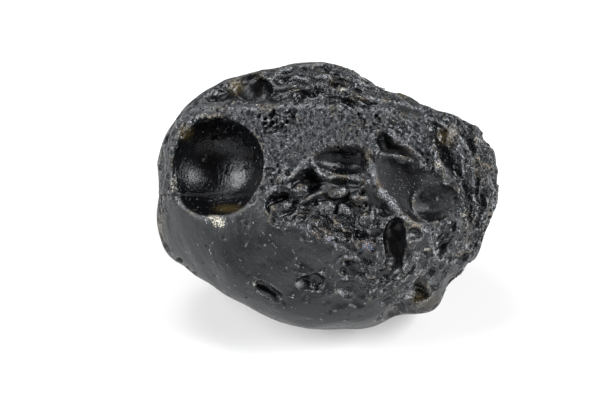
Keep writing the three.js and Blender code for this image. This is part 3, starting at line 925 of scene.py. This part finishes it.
@dataclass(frozen=True)
class Signal:
    """A node's output. Arithmetic with it adds the nodes that do the arithmetic."""

    tree: bpy.types.NodeTree
    socket: bpy.types.NodeSocket

    def other(self, name: str) -> "Signal":
        """Another output of the same node."""
        return Signal(self.tree, self.socket.node.outputs[name])

    def math(self, operation: str, *values: "Signal | float") -> "Signal":
        """The result of a math operation on signals or numbers."""
        return add_node(self.tree, "ShaderNodeMath", dict(enumerate(values)), operation=operation)

    def __add__(self, other: "Signal | float") -> "Signal":
        """Sum."""
        return self.math("ADD", self, other)

    def __radd__(self, other: float) -> "Signal":
        """Sum of a number and this."""
        return self.math("ADD", other, self)

    def __sub__(self, other: "Signal | float") -> "Signal":
        """Difference."""
        return self.math("SUBTRACT", self, other)

    def __rsub__(self, other: float) -> "Signal":
        """A number less this."""
        return self.math("SUBTRACT", other, self)

    def __mul__(self, other: "Signal | float") -> "Signal":
        """Product."""
        return self.math("MULTIPLY", self, other)

    def __truediv__(self, other: "Signal | float") -> "Signal":
        """Quotient."""
        return self.math("DIVIDE", self, other)

    def __or__(self, other: "Signal | float") -> "Signal":
        """The greater of the two."""
        return self.math("MAXIMUM", self, other)

    def ramp(self, start: float, stop: float, low: float = 0.0, high: float = 1.0) -> "Signal":
        """This, turned smoothly from `low` at `start` to `high` at `stop`."""
        inputs = dict(enumerate((self, start, stop, low, high)))
        return add_node(self.tree, "ShaderNodeMapRange", inputs, interpolation_type="SMOOTHSTEP")


def connect(tree: bpy.types.NodeTree, node: bpy.types.Node, inputs: dict[int | str, Any]) -> None:
    """Link a node's inputs to signals or set their values, each by number or name."""
    for key, value in inputs.items():
        if isinstance(value, Signal):
            tree.links.new(value.socket, node.inputs[key])
        else:
            node.inputs[key].default_value = value


def add_node(
    tree: bpy.types.NodeTree,
    kind: str,
    inputs: dict[int | str, Any] | None = None,
    out: int | str = 0,
    **settings: Any,
) -> Signal:
    """Add a node with its settings and what goes into it.

    Args:
        tree: the tree that it joins.
        kind: the node's type name.
        inputs: by number or name, a signal to link or a value to set.
        out: the output that is wanted, by number or name.
        settings: properties of the node.

    Returns:
        The output.
    """
    node = tree.nodes.new(kind)
    for name, value in settings.items():
        setattr(node, name, value)
    connect(tree, node, inputs or {})
    return Signal(tree, node.outputs[out])


def linear(hex_colour: str) -> tuple[float, float, float, float]:
    """A colour written as sRGB hex, such as "2a2b2d", as linear red, green, blue, alpha."""
    parts = [int(hex_colour[start : start + 2], 16) / 255 for start in (0, 2, 4)]
    return (*[p / 12.92 if p <= 0.04045 else ((p + 0.055) / 1.055) ** 2.4 for p in parts], 1.0)


def per_metre(size_mm: float) -> float:
    """The scale of a pattern whose grains or cells are `size_mm` wide."""
    return 1 / (size_mm * MM)


def new_material(
    name: str, inputs: Callable[[bpy.types.NodeTree], dict[str, Any]]
) -> bpy.types.Material:
    """A material whose shader gets what `inputs` makes for it in the node tree."""
    material = bpy.data.materials.new(name)
    material.use_nodes = True
    tree = material.node_tree
    connect(tree, tree.nodes["Principled BSDF"], inputs(tree))
    return material


# ---- finishes -----------------------------------------------------------------------------


class Mask(Enum):
    """Corner attributes that tell the finish what happened to each spot of the skin."""

    SUNK = "sunk"  # mm below the skin that the lump had before etching
    CAVITY = "cavity"  # mm below its own surroundings, negative on ridges
    PITTED = "pitted"  # 0 to 1, how densely fine pits cover the spot
    CRUST = "crust"  # 0 to 1, how scabby acid left the spot
    CLAY = "clay"  # 0 to 1, how much dried clay fills the spot
    EDGE = "edge"  # 0 to 1, how near the spot is to the top of a worn crest, whose top gets frost and a painted highlight
    STAIN = "stain"  # 0 to 1, how much iron has stained the spot
    FILM_AND_GLINT = "film"  # 0 to 1, how much a thin rainbow film covers the spot, its blue and orange partly painted glints
    GRAINY = "grainy"  # 0 to 1, how rough very fine etching left the spot


FLOW = "flow"  # the show frame in metres, squeezed along the outline so that patterns stretch


@dataclass(frozen=True)
class TektiteGlass:
    """Natural impact glass: black and glossy in bowls, etched and frosted on its skin, with painted
    highlights on ridges and painted shade in pits.
    """

    name: str = "tektite_glass"
    glass: str = "08090b"
    skin: str = "15181a"
    etched_skin: str = "212428"
    # painted shade: near-black colour laid into pits and dark specks, for the shade that falls inside
    # them
    pit_shade: str = "040506"
    # pale frost colour, also used for the painted highlight along ridges and crest tops
    frost_and_glint: str = "c8ccd2"
    clay: str = "cdc8ba"
    iron: str = "5c4f2e"
    warm_frost_and_glint: str = "b3a58e"
    # colours of the thin film, partly painted glints
    film_and_glint_blue: str = "8b9fc0"
    film_and_glint_orange: str = "a8794f"
    ior: float = 1.5
    gloss: float = 0.5
    gloss_tint: str = "f6f8fc"
    whiteness: float = 0.78
    dullness: float = 0.9
    grain_mm: float = 0.75
    speckle_mm: float = 0.26
    fine_grain_mm: float = 0.24
    cloud_mm: float = 3.5
    pit_spacing_mm: float = 0.85
    pinhole_spacing_mm: float = 0.5
    scallop_mm: float = 0.9
    streak_mm: float = 0.6

    def build(self) -> bpy.types.Material:
        """The material, from typical values for silica-rich natural glass."""
        return new_material(self.name, self.inputs)

    def inputs(self, tree: bpy.types.NodeTree) -> dict[str, Any]:
        """What the shader gets, mixed from the masks and from fine patterns.

        Args:
            tree: the material's tree.

        Returns:
            Signals and values by the shader's input names.
        """
        place = add_node(tree, "ShaderNodeTexCoord", out="Object")
        flow = add_node(tree, "ShaderNodeAttribute", out="Vector", attribute_name=FLOW)
        sunk, cavity, pitted, crust, clay, edge, stain, film, grainy = (
            add_node(tree, "ShaderNodeAttribute", out="Fac", attribute_name=which.value)
            for which in Mask
        )

        def noise(size_mm: float, detail: float, roughness: float, where: Signal = place) -> Signal:
            """Cloudy noise, 0 to 1, whose largest grains are `size_mm` wide."""
            inputs = {"Vector": where, "Scale": per_metre(size_mm), "Detail": detail}
            return add_node(tree, "ShaderNodeTexNoise", {**inputs, "Roughness": roughness})

        def cells(spacing_mm: float, where: Signal = place) -> Signal:
            """Distance to the nearest of many spread points, in spacings."""
            inputs = {"Vector": where, "Scale": per_metre(spacing_mm)}
            return add_node(tree, "ShaderNodeTexVoronoi", inputs)

        def pits(spacing_mm: float, share: Signal) -> Signal:
            """Round pits, 0 to 1, in the `share` of a pattern of spread spots."""
            away = cells(spacing_mm)
            lot = add_node(tree, "ShaderNodeSeparateColor", {"Color": away.other("Color")})
            return away.ramp(0.4, 0.3) * (share - lot).ramp(-0.05, 0.05)

        def blend(amount: Signal, below: Signal | str, above: Signal | str) -> Signal:
            """Colour `above` laid over `below` by `amount`, each a signal or sRGB hex."""
            below, above = (linear(c) if isinstance(c, str) else c for c in (below, above))
            inputs = {"Factor": amount, 6: below, 7: above}
            return add_node(tree, "ShaderNodeMix", inputs, out=2, data_type="RGBA")

        grain = noise(self.grain_mm, 3, 0.7)
        speckle = noise(self.speckle_mm, 2, 0.7)
        fine = noise(self.fine_grain_mm, 2, 0.6)
        clouds = noise(self.cloud_mm, 3, 0.6)
        flecks = noise(self.streak_mm, 3, 0.7, flow)
        scallop = cells(self.scallop_mm, flow)
        textured = crust | pitted * 0.5
        clay, film = ((mask * 0.3 + speckle * 0.8).ramp(0.66, 0.76) for mask in (clay, film))

        pinholes = pits(self.pinhole_spacing_mm, pitted * 0.7)
        all_pits = pits(self.pit_spacing_mm, pitted) | pinholes
        # painted shade: pits and dark specks of the textured skin turned near black, standing in for
        # their shade
        painted_pit_shade = all_pits | grain.ramp(0.45, 0.38) * textured.ramp(0.1, 0.8)
        # frost and painted highlight: whitened etching in specks, streaks and scallop ridges, and a
        # painted highlight along convex ridges and crest tops
        frost_and_glint = (
            cavity.ramp(-0.03, -0.11) * fine.ramp(0.5, 0.62, 0.0, 0.8)
            | speckle.ramp(0.6, 0.7) * (textured.ramp(0.05, 0.8) | grainy * 0.3)
            | scallop.ramp(0.7, 0.9) * crust.ramp(0.2, 0.9, 0.0, 0.6)
            | edge * fine.ramp(0.48, 0.6, 0.1, 0.9)
            | flecks.ramp(0.64, 0.72, 0.0, 0.6)
        )

        colour = self.skin
        for amount, above in (
            (pitted.ramp(0.2, 0.9), self.etched_skin),
            (sunk.ramp(0.3, 1.1), self.glass),
            (stain * speckle.ramp(0.35, 0.6, 0.2, 0.8), self.iron),
            (frost_and_glint * self.whiteness, blend(clouds.ramp(0.5, 0.6), self.frost_and_glint, self.warm_frost_and_glint)),
            (painted_pit_shade, self.pit_shade),
            (clay, self.clay),
            # thin rainbow film, partly a painted glint
            (film, blend(grain.ramp(0.48, 0.56), self.film_and_glint_blue, self.film_and_glint_orange)),
        ):
            colour = blend(amount, colour, above)

        rough = grainy * 0.55 + textured.ramp(0.0, 1.0, 0.42, 0.26)
        rough = rough - sunk.ramp(0.3, 1.5, 0.0, 0.21) + frost_and_glint * 0.15
        relief_mm = (
            grain * textured.ramp(0.1, 1.0, 0.04, 0.5)
            + speckle * textured.ramp(0.1, 1.0, 0.02, 0.25)
            + scallop * crust.ramp(0.2, 1.0, 0.0, 0.45)
            + flecks * 0.12
            - all_pits * 0.15
            + speckle * grainy * 0.2
        )
        bump = {"Strength": 1.0, "Distance": MM, "Height": relief_mm}
        return {
            "Base Color": colour,
            "Roughness": rough | (clay | painted_pit_shade) * self.dullness,
            "Normal": add_node(tree, "ShaderNodeBump", bump),
            "IOR": self.ior,
            "Specular IOR Level": self.gloss,
            "Specular Tint": linear(self.gloss_tint),
        }


@dataclass(frozen=True)
class LightTableAcrylic:
    """Matt translucent acrylic lit from below, which keeps shadows pale and thin."""

    name: str = "light_table_acrylic"
    colour: str = "cacaca"
    glow: float = 0.36
    roughness: float = 0.9

    def build(self) -> bpy.types.Material:
        """The material."""
        return new_material(self.name, lambda tree: {
            "Base Color": linear(self.colour),
            "Roughness": self.roughness,
            "Specular IOR Level": 0.0,
            "Emission Color": linear("ffffff"),
            "Emission Strength": self.glow,
        })


# ---- the stone ----------------------------------------------------------------------------


@dataclass(frozen=True)
class PaintedPatch:
    """A soft oval of one side, in [across, up] mm, where a mask has a value.

    It runs over the stone's edge and fades out within `wrap` mm past it.
    """

    middle: tuple[float, float]
    reach: tuple[float, float]
    value: float
    side: Side = Side.SHOW
    wrap: float = 7.0

    def over(self, points: Array) -> Array:
        """The patch's value at each point, falling to 0 at its edge."""
        away = np.linalg.norm((points[:, :2] - self.middle) / np.array(self.reach), axis=1)
        past_edge = np.clip(1 + points[:, 2] * self.side.value / self.wrap, 0, 1)
        steepness = 1.5
        return self.value * np.clip(steepness - steepness * away, 0, 1) * past_edge


PAINTED: dict[Mask, tuple[PaintedPatch, ...]] = {
    which: tuple(PaintedPatch(*row) for row in rows)
    for which, rows in {
        Mask.PITTED: (
            ((-1, 11), (21, 10), 0.9), ((-13, 14), (12, 4), 0.8), ((-9, 5), (3.5, 9), 0.8),
            ((20, 10), (14, 12), 0.8), ((24, -6), (10, 14), 0.6), ((4, 8), (24, 15), 0.8, Side.HIDDEN),
        ),
        Mask.CRUST: (
            ((2, 20), (26, 6), 1.0), ((28, 2), (8, 19), 1.0), ((18, 7), (6, 8), 0.9),
            ((-30, 2), (4, 14), 0.7), ((5, -7), (7, 3), 0.6), ((3.4, -5.0), (8.5, 4.6), 1.2),
            ((12, -15), (12, 7), 0.6), ((7.3, 5.4), (1.8, 3.4), 1.0), ((9.4, 1.0), (2.2, 3.4), 1.0),
            ((13.4, -3.4), (3.4, 2.6), 1.0), ((-19.9, 13.4), (8, 1.6), 0.7),
            ((9, 13), (17, 9), 0.7, Side.HIDDEN), ((24, -3), (9, 10), 0.7, Side.HIDDEN),
            ((-21, 5), (9, 9), 0.5, Side.HIDDEN),
        ),
        Mask.CLAY: (
            ((-19.9, -4.0), (2.8, 1.0), 1.0), ((-18.9, -4.9), (2.2, 1.5), 1.2),
            ((2.6, 0.5), (2.2, 1.5), 0.75), ((2.7, 18.4), (1.1, 0.9), 1.0),
            ((-21.9, 13.9), (3.4, 0.9), 0.8), ((-27.2, 2.0), (1.3, 3.2), 0.8),
            ((-6.3, 3.4), (1.2, 0.8), 0.9), ((-4.3, 5.8), (1.4, 0.9), 0.7),
            ((19.2, 5.5), (1.8, 1.5), 0.9), ((24.0, -3.6), (0.9, 0.7), 1.0),
            ((17.4, -9.6), (1.6, 0.6), 1.0), ((-24.8, -10.3), (1.9, 0.7), 0.8),
            ((-12.8, -15.7), (0.8, 0.9), 0.9),
        ),
        Mask.FILM_AND_GLINT: (((0.1, -7.6), (0.9, 0.9), 1.0), ((6.8, -9.0), (2.6, 1.9), 0.95)),
        Mask.GRAINY: (
            ((13.6, 2.6), (8.5, 7.5), 1.1), ((-13.8, 18.0), (3.4, 4.0), 0.3),
            ((20.5, -0.5), (5.0, 5.0), 0.6), ((12.0, -9.0), (3.0, 6.0), 0.3),
            ((2.0, -2.0), (12.0, 9.0), 0.12), ((-19.9, 5.2), (16.0, 16.0), 0.05),
        ),
        Mask.STAIN: (
            ((-17.6, -2.4), (3.4, 0.9), 0.75), ((-25.2, 11.2), (1.8, 1.8), 0.7),
            ((-16.3, 19.6), (1.8, 2.2), 0.7), ((21.3, 10.5), (2.4, 2.2), 1.0),
            ((17.2, -18.5), (3.6, 2.6), 0.45), ((13.8, 18.5), (2.0, 1.6), 0.9),
            ((-30.5, -6.0), (1.6, 4.0), 0.6),
        ),
    }.items()
}
ELSEWHERE: dict[Mask, float] = {Mask.PITTED: 0.04, Mask.CRUST: 0.12}


@dataclass(frozen=True)
class PitLayer:
    """Fine round pits of like size. Sizes in mm."""

    radius: float
    depth: float
    per_cm2: float
    seed: int
    smallest: float = 0.45


@dataclass(frozen=True)
class ScallopLayer:
    """Scallops that meet in ridges, of a height on plain skin and on crusts, in mm."""

    spacing: float
    height: float
    crust_height: float
    middle: float = 0.6


class EtchedSkin:
    """The Geometry Nodes tree that gives the skin its fine pits and its masks."""

    PITS = (PitLayer(0.7, 0.35, 9, 1), PitLayer(0.45, 0.3, 50, 2), PitLayer(0.3, 0.24, 160, 3))
    SCALLOPS = (ScallopLayer(2.0, 0.03, 1.1), ScallopLayer(1.0, 0.015, 0.5))
    SIZES = ("Radius", "Depth", "Density")
    SURROUNDINGS = 5
    WARP_GRAIN = 1.6
    WARP = 1.1
    FEWEST_CORNERS = 1000.0

    def __init__(self) -> None:
        """Start the tree, with an input for each size."""
        self.tree = bpy.data.node_groups.new("etched_skin", "GeometryNodeTree")
        self.sockets = {
            name: self.tree.interface.new_socket(name, in_out="INPUT", socket_type=kind)
            for name, kind in (
                ("Geometry", "NodeSocketGeometry"),
                ("Material", "NodeSocketMaterial"),
                ("Surroundings", "NodeSocketInt"),
                *((f"{word} {i}", "NodeSocketFloat") for i in range(len(self.PITS))
                  for word in self.SIZES),
            )
        }
        self.tree.interface.new_socket("Geometry", in_out="OUTPUT", socket_type="NodeSocketGeometry")
        given = self.tree.nodes.new("NodeGroupInput").outputs
        self.given = {name: Signal(self.tree, given[name]) for name in self.sockets}
        self.place = self.add("GeometryNodeInputPosition")
        self.normal = self.add("GeometryNodeInputNormal")

    def add(self, kind: str, inputs: dict | None = None, out: int | str = 0, **settings: Any) -> Signal:
        """Add a node to this tree."""
        return add_node(self.tree, kind, inputs, out, **settings)

    def named(self, name: str, kind: str = "FLOAT") -> Signal:
        """What is stored at each corner under a name."""
        return self.add("GeometryNodeInputNamedAttribute", {"Name": name}, data_type=kind)

    def stored(self, geometry: Signal, name: str, value: Signal) -> Signal:
        """Geometry with a number stored at each corner."""
        inputs = {"Geometry": geometry, "Name": name, "Value": value}
        return self.add("GeometryNodeStoreNamedAttribute", inputs, data_type="FLOAT", domain="POINT")

    def vector(self, operation: str, one: Signal, other: Signal, out: int | str = 0) -> Signal:
        """The result of a vector operation."""
        return self.add("ShaderNodeVectorMath", {0: one, 1: other}, out, operation=operation)

    def scaled(self, vector: Signal, scale: Signal | float) -> Signal:
        """A vector made longer by a number."""
        return self.add("ShaderNodeVectorMath", {0: vector, "Scale": scale}, operation="SCALE")

    def moved(self, geometry: Signal, height: Signal) -> Signal:
        """Geometry with each corner moved out along its normal by `height` metres."""
        offset = self.scaled(self.normal, height)
        return self.add("GeometryNodeSetPosition", {"Geometry": geometry, "Offset": offset})

    def roughened(self, geometry: Signal) -> Signal:
        """Geometry with small scallops that meet in sharp ridges on its crusts, faint elsewhere."""
        flow, crust = self.named(FLOW, "FLOAT_VECTOR"), self.named(Mask.CRUST.value)
        inputs = {"Vector": flow, "Scale": per_metre(self.WARP_GRAIN), "Detail": 1.0}
        warp = self.add("ShaderNodeTexNoise", inputs, "Color")
        place = self.vector("ADD", flow, self.scaled(warp, self.WARP * MM))
        heights = []
        for layer in self.SCALLOPS:
            inputs = {"Vector": place, "Scale": per_metre(layer.spacing)}
            most = crust * ((layer.crust_height - layer.height) * MM) + layer.height * MM
            heights.append((self.add("ShaderNodeTexVoronoi", inputs) - layer.middle) * most)
        return self.moved(geometry, sum(heights))

    def pitted(self, geometry: Signal, index: int, layer: PitLayer) -> Signal:
        """Geometry with one layer of pits pressed in along its normals.

        Args:
            geometry: the skin so far.
            index: the layer's number, which names its inputs.
            layer: gives the seed and the smallest pit's share of the full size.

        Returns:
            The pitted geometry.
        """
        radius, depth, density = (self.given[f"{word} {index}"] for word in self.SIZES)
        spots = self.add(
            "GeometryNodeDistributePointsOnFaces",
            {"Mesh": geometry, "Density": density * self.named(Mask.PITTED.value), "Seed": layer.seed},
            distribute_method="RANDOM",
        )
        sizes = {2: layer.smallest, 3: 1.0, "Seed": layer.seed}
        size = self.add("FunctionNodeRandomValue", sizes, 1, data_type="FLOAT")
        spots = self.stored(spots, "share", size)
        inputs = {"Geometry": spots, "Sample Position": self.place}
        nearest = self.add("GeometryNodeSampleNearest", inputs, domain="POINT")
        middle, share = (
            self.add(
                "GeometryNodeSampleIndex",
                {"Geometry": spots, "Value": value, "Index": nearest},
                data_type=kind,
                domain="POINT",
            )
            for value, kind in ((self.place, "FLOAT_VECTOR"), (self.named("share"), "FLOAT"))
        )
        part = self.vector("DISTANCE", self.place, middle, "Value") / (radius * share)
        bowl = (1.0 - part.math("POWER", part, 2.0)) | 0.0
        return self.moved(geometry, depth * share * bowl * -1.0)

    def with_cavities(self, geometry: Signal) -> Signal:
        """Geometry that knows how far each corner lies below its surroundings, in mm."""
        inputs = {"Value": self.place, "Iterations": self.given["Surroundings"]}
        blurred = self.add("GeometryNodeBlurAttribute", inputs, data_type="FLOAT_VECTOR")
        gap = self.vector("SUBTRACT", blurred, self.place)
        below = self.vector("DOT_PRODUCT", gap, self.normal, "Value")
        return self.stored(geometry, Mask.CAVITY.value, below / MM)

    def without_crumbs(self, geometry: Signal) -> Signal:
        """Geometry without loose crumbs that etching cut off from the stone."""
        inputs = {"Value": 1.0, "Group ID": self.add("GeometryNodeInputMeshIsland", out="Island Index")}
        size = self.add("GeometryNodeAccumulateField", inputs, "Total", domain="POINT")
        crumb = size.math("LESS_THAN", size, self.FEWEST_CORNERS)
        return self.add("GeometryNodeDeleteGeometry", {"Geometry": geometry, "Selection": crumb})

    def build(self) -> bpy.types.NodeTree:
        """Finish the tree."""
        geometry = self.roughened(self.given["Geometry"])
        for index, layer in enumerate(self.PITS):
            geometry = self.pitted(geometry, index, layer)
        geometry = self.without_crumbs(self.with_cavities(geometry))
        real = self.add("GeometryNodeRealizeInstances", {"Geometry": geometry})
        inputs = {"Geometry": real, "Material": self.given["Material"]}
        dressed = self.add("GeometryNodeSetMaterial", inputs)
        connect(self.tree, self.tree.nodes.new("NodeGroupOutput"), {"Geometry": dressed})
        return self.tree

    def apply_to(self, piece: bpy.types.Object, material: bpy.types.Material) -> None:
        """Run the tree on a piece as a modifier, with its inputs set.

        Args:
            piece: the stone before its fine pits.
            material: its finish.
        """
        modifier = piece.modifiers.new("etched_skin", "NODES")
        modifier.node_group = self.tree
        values = {"Material": material, "Surroundings": self.SURROUNDINGS}
        cm2_per_m2 = 1e4
        for index, layer in enumerate(self.PITS):
            values[f"Radius {index}"] = layer.radius * MM
            values[f"Depth {index}"] = layer.depth * MM
            values[f"Density {index}"] = layer.per_cm2 * cm2_per_m2
        for name, value in values.items():
            modifier[self.sockets[name].identifier] = value


@dataclass
class Stone:
    """The tektite itself, one piece."""

    step: float = 0.25
    quick_step: float = 0.45
    most_triangles: int = 196_000
    lump: Lump = Lump()
    waves: int = 7
    wanders: tuple[tuple[float, float, tuple[float, ...]], ...] = (
        (0.3, 9.0, (0.3, 1.7, 3.1)),  # height and wavelength in mm, and a phase for each axis
        (0.12, 2.6, (0.9, 2.2, 4.1)),
    )
    flow_radius: float = 24.0
    flow_squeeze: float = 0.32
    etched_depths: tuple[float, float] = (0.5, 1.8)
    etched_shares: tuple[float, float] = (1.0, 0.25)
    heart: Vector = Vector()

    def wander(self, points: Array) -> Array:
        """Small shifts that make rims run unevenly, in mm."""
        return sum(
            np.stack([Swell(height, length, self.waves, phase).at(points) for phase in phases], 1)
            for height, length, phases in self.wanders
        )

    def surface(self) -> tuple[Array, Array]:
        """The etched surface.

        Returns:
            Corners in mm, level with the heart, and quads.
        """
        stone, bare = CarvedLump(self.lump), CarvedLump(self.lump)
        stone.cut([*SCOOPS.values(), *(notch.hollow(self.lump) for notch in RIM_NOTCHES)])
        nibbles = [notch.hollow(self.lump) for rim in NIBBLED_RIMS for notch in rim.notches()]
        stone.cut([*SHOW_HOLLOWS.values(), *HIDDEN_HOLLOWS.values(), *nibbles])
        craters = Ellipsoids(
            stone, [crater for zone in CRATER_ZONES.values() for crater in zone.hollows(stone)]
        )
        grid = FieldGrid(self.step)
        grid.fill(stone, self.wander)
        for cutters in stone.cuts:
            grid.carve(cutters, grid.step)
        grid.carve(Ellipsoids(bare, list(LOBES.values())), grid.step, add=True)
        for crest in CRESTS.values():
            grid.raise_crest(crest, bare)
        grid.carve(craters, grid.step)
        grid.flatten_base()
        grid.join_corners()
        log.info("%d craters cut, %d field values near the skin", len(craters), grid.near_skin.sum())
        return grid.mesh()

    def store_masks(self, mesh: bpy.types.Mesh, points: Array) -> None:
        """Store what the lump's own shape says about each corner.

        Args:
            mesh: gets the masks.
            points: its corners in the show frame, in mm.
        """
        sunk = -self.lump.outside_by(points)
        values = {Mask.SUNK: sunk}
        for which, patches in PAINTED.items():
            painted = [patch.over(points) for patch in patches]
            values[which] = np.maximum(np.max(painted, axis=0), ELSEWHERE.get(which, 0.0))
        values[Mask.EDGE] = np.max([crest.nearness(points) for crest in CRESTS.values()], axis=0)
        kept = np.interp(sunk, self.etched_depths, self.etched_shares)
        values[Mask.PITTED] *= kept
        values[Mask.CRUST] *= kept
        for which, numbers in values.items():
            mesh.attributes.new(which.value, "FLOAT", "POINT").data.foreach_set(
                "value", numbers.astype(np.float32)
            )
        flow = np.column_stack(
            (
                np.arctan2(points[:, 1], points[:, 0]) * self.flow_radius * self.flow_squeeze,
                np.hypot(points[:, 0], points[:, 1]),
                points[:, 2],
            )
        )
        mesh.attributes.new(FLOW, "FLOAT_VECTOR", "POINT").data.foreach_set(
            "vector", (flow * MM).astype(np.float32).ravel()
        )

    @staticmethod
    def bake(piece: bpy.types.Object) -> None:
        """Turn a piece's modifiers into its plain mesh."""
        evaluated = piece.evaluated_get(bpy.context.evaluated_depsgraph_get())
        mesh = bpy.data.meshes.new_from_object(evaluated)
        mesh.name = piece.name
        piece.modifiers.clear()
        piece.data = mesh

    def fit(self, piece: bpy.types.Object) -> None:
        """Stretch the stone, by about a percent, to the CAD solid's box.

        Args:
            piece: the stone, with its heart at the origin.
        """
        corners = np.empty(len(piece.data.vertices) * 3, np.float32)
        piece.data.vertices.foreach_get("co", corners)
        corners = corners.reshape(-1, 3)
        low, high = corners.min(0), corners.max(0)
        cad_low, cad_high = (np.array(corner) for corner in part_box(NODE))
        scale = (cad_high - cad_low) / (high - low)
        self.heart = Vector(cad_low - low * scale)
        piece.data.vertices.foreach_set("co", (corners * scale + np.array(self.heart)).ravel())
        log.info("%s: %d triangles, stretched by %s", piece.name, len(piece.data.polygons), scale)

    def build(self) -> bpy.types.Object:
        """The stone as one closed mesh."""
        corners, quads = self.surface()
        mesh = bpy.data.meshes.new("stone_form")
        mesh.from_pydata((corners * MM).tolist(), [], quads.tolist())
        mesh.polygons.foreach_set("use_smooth", [True] * len(mesh.polygons))
        self.store_masks(mesh, corners @ SHOW_AXES.T)
        stone = bpy.data.objects.new("etched_stone", mesh)
        bpy.context.collection.objects.link(stone)
        skin = EtchedSkin()
        skin.build()
        skin.apply_to(stone, TektiteGlass().build())
        thin = stone.modifiers.new("thin_out", "DECIMATE")
        thin.ratio = min(1.0, self.most_triangles / (2 * len(quads)))
        self.bake(stone)
        self.fit(stone)
        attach(stone, BODY)
        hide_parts(NODE)
        return stone


# ---- the studio ---------------------------------------------------------------------------


@dataclass(frozen=True)
class Softbox:
    """An area light that looks at the stone.

    `azimuth` is in degrees from the front towards the right, `elevation` is above the
    table, and `width`, `height` and `distance` are in metres.
    """

    name: str
    azimuth: float
    elevation: float
    power: float
    width: float = 0.26
    height: float = 0.26
    distance: float = 0.55

    def build(self, target: Vector) -> bpy.types.Object:
        """The light, turned to `target`."""
        azimuth, elevation = math.radians(self.azimuth), math.radians(self.elevation)
        away = Vector(
            (
                math.cos(elevation) * math.sin(azimuth),
                -math.cos(elevation) * math.cos(azimuth),
                math.sin(elevation),
            )
        )
        data = bpy.data.lights.new(self.name, "AREA")
        data.energy = self.power
        data.shape = "RECTANGLE"
        data.size = self.width
        data.size_y = self.height
        light = bpy.data.objects.new(self.name, data)
        light.location = target + away * self.distance
        light.rotation_euler = (-away).to_track_quat("-Z", "Y").to_euler()
        bpy.context.collection.objects.link(light)
        return light


@dataclass(frozen=True)
class Studio:
    """A light table, soft lights, and a camera that looks squarely at the show side."""

    sky: float = 0.04
    softboxes: tuple[Softbox, ...] = (
        Softbox("softbox_left", 286, 34, 3.4, height=0.34),
        Softbox("softbox_right", 72, 34, 4.9, height=0.34),
        Softbox("softbox_back", 222, 66, 1.5),
    )
    floor_size: float = 6.0
    lens_mm: float = 130.0
    sensor_mm: float = 36.0
    picture_width_px: float = 612.0
    px_per_mm: float = 5.53
    heart_off_centre_px: tuple[float, float] = (21.0, 8.5)

    def floor(self) -> bpy.types.Object:
        """The light table that the stone rests on."""
        half = self.floor_size / 2
        corners = [(-half, -half, 0), (half, -half, 0), (half, half, 0), (-half, half, 0)]
        mesh = bpy.data.meshes.new("paper_floor")
        mesh.from_pydata(corners, [], [(0, 1, 2, 3)])
        mesh.materials.append(LightTableAcrylic().build())
        floor = bpy.data.objects.new("paper_floor", mesh)
        bpy.context.collection.objects.link(floor)
        floor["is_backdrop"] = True
        return floor

    def camera(self, heart: Vector) -> bpy.types.Object:
        """The camera, level with the show side's middle.

        Args:
            heart: the point that the stone is described from.

        Returns:
            The camera object.
        """
        data = bpy.data.cameras.new("camera")
        data.lens = self.lens_mm
        data.sensor_width = self.sensor_mm
        field_width = self.picture_width_px / self.px_per_mm * MM
        distance = field_width * self.lens_mm / self.sensor_mm
        right, up = (pixels / self.px_per_mm * MM for pixels in self.heart_off_centre_px)
        camera = bpy.data.objects.new("camera", data)
        camera.location = heart + Vector(OUT) * distance - Vector(ACROSS) * right - Vector(UP) * up
        camera.rotation_euler = (-Vector(OUT)).to_track_quat("-Z", "Y").to_euler()
        bpy.context.collection.objects.link(camera)
        return camera

    def build(self, heart: Vector) -> None:
        """Set up the table, the lights and the camera round the stone."""
        scene = bpy.context.scene
        world = bpy.data.worlds.new("studio")
        world.use_nodes = True
        background = world.node_tree.nodes["Background"]
        background.inputs["Color"].default_value = linear("ffffff")
        background.inputs["Strength"].default_value = self.sky
        scene.world = world
        scene.view_settings.view_transform = "Standard"

        self.floor()
        for softbox in self.softboxes:
            softbox.build(heart)
        scene.camera = self.camera(heart)


def main() -> None:
    """Build the stone and the studio, and work out both boxes."""
    logging.basicConfig(level=logging.INFO, format="%(name)s: %(message)s")
    stone = Stone()
    stone.build()
    Studio().build(stone.heart)
    sizes = {
        name: [list(corner) for corner in bounds]
        for name, bounds in (("cad", CAD_BOUNDS), ("visual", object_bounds()))
    }


if __name__ == "__main__":
    main()
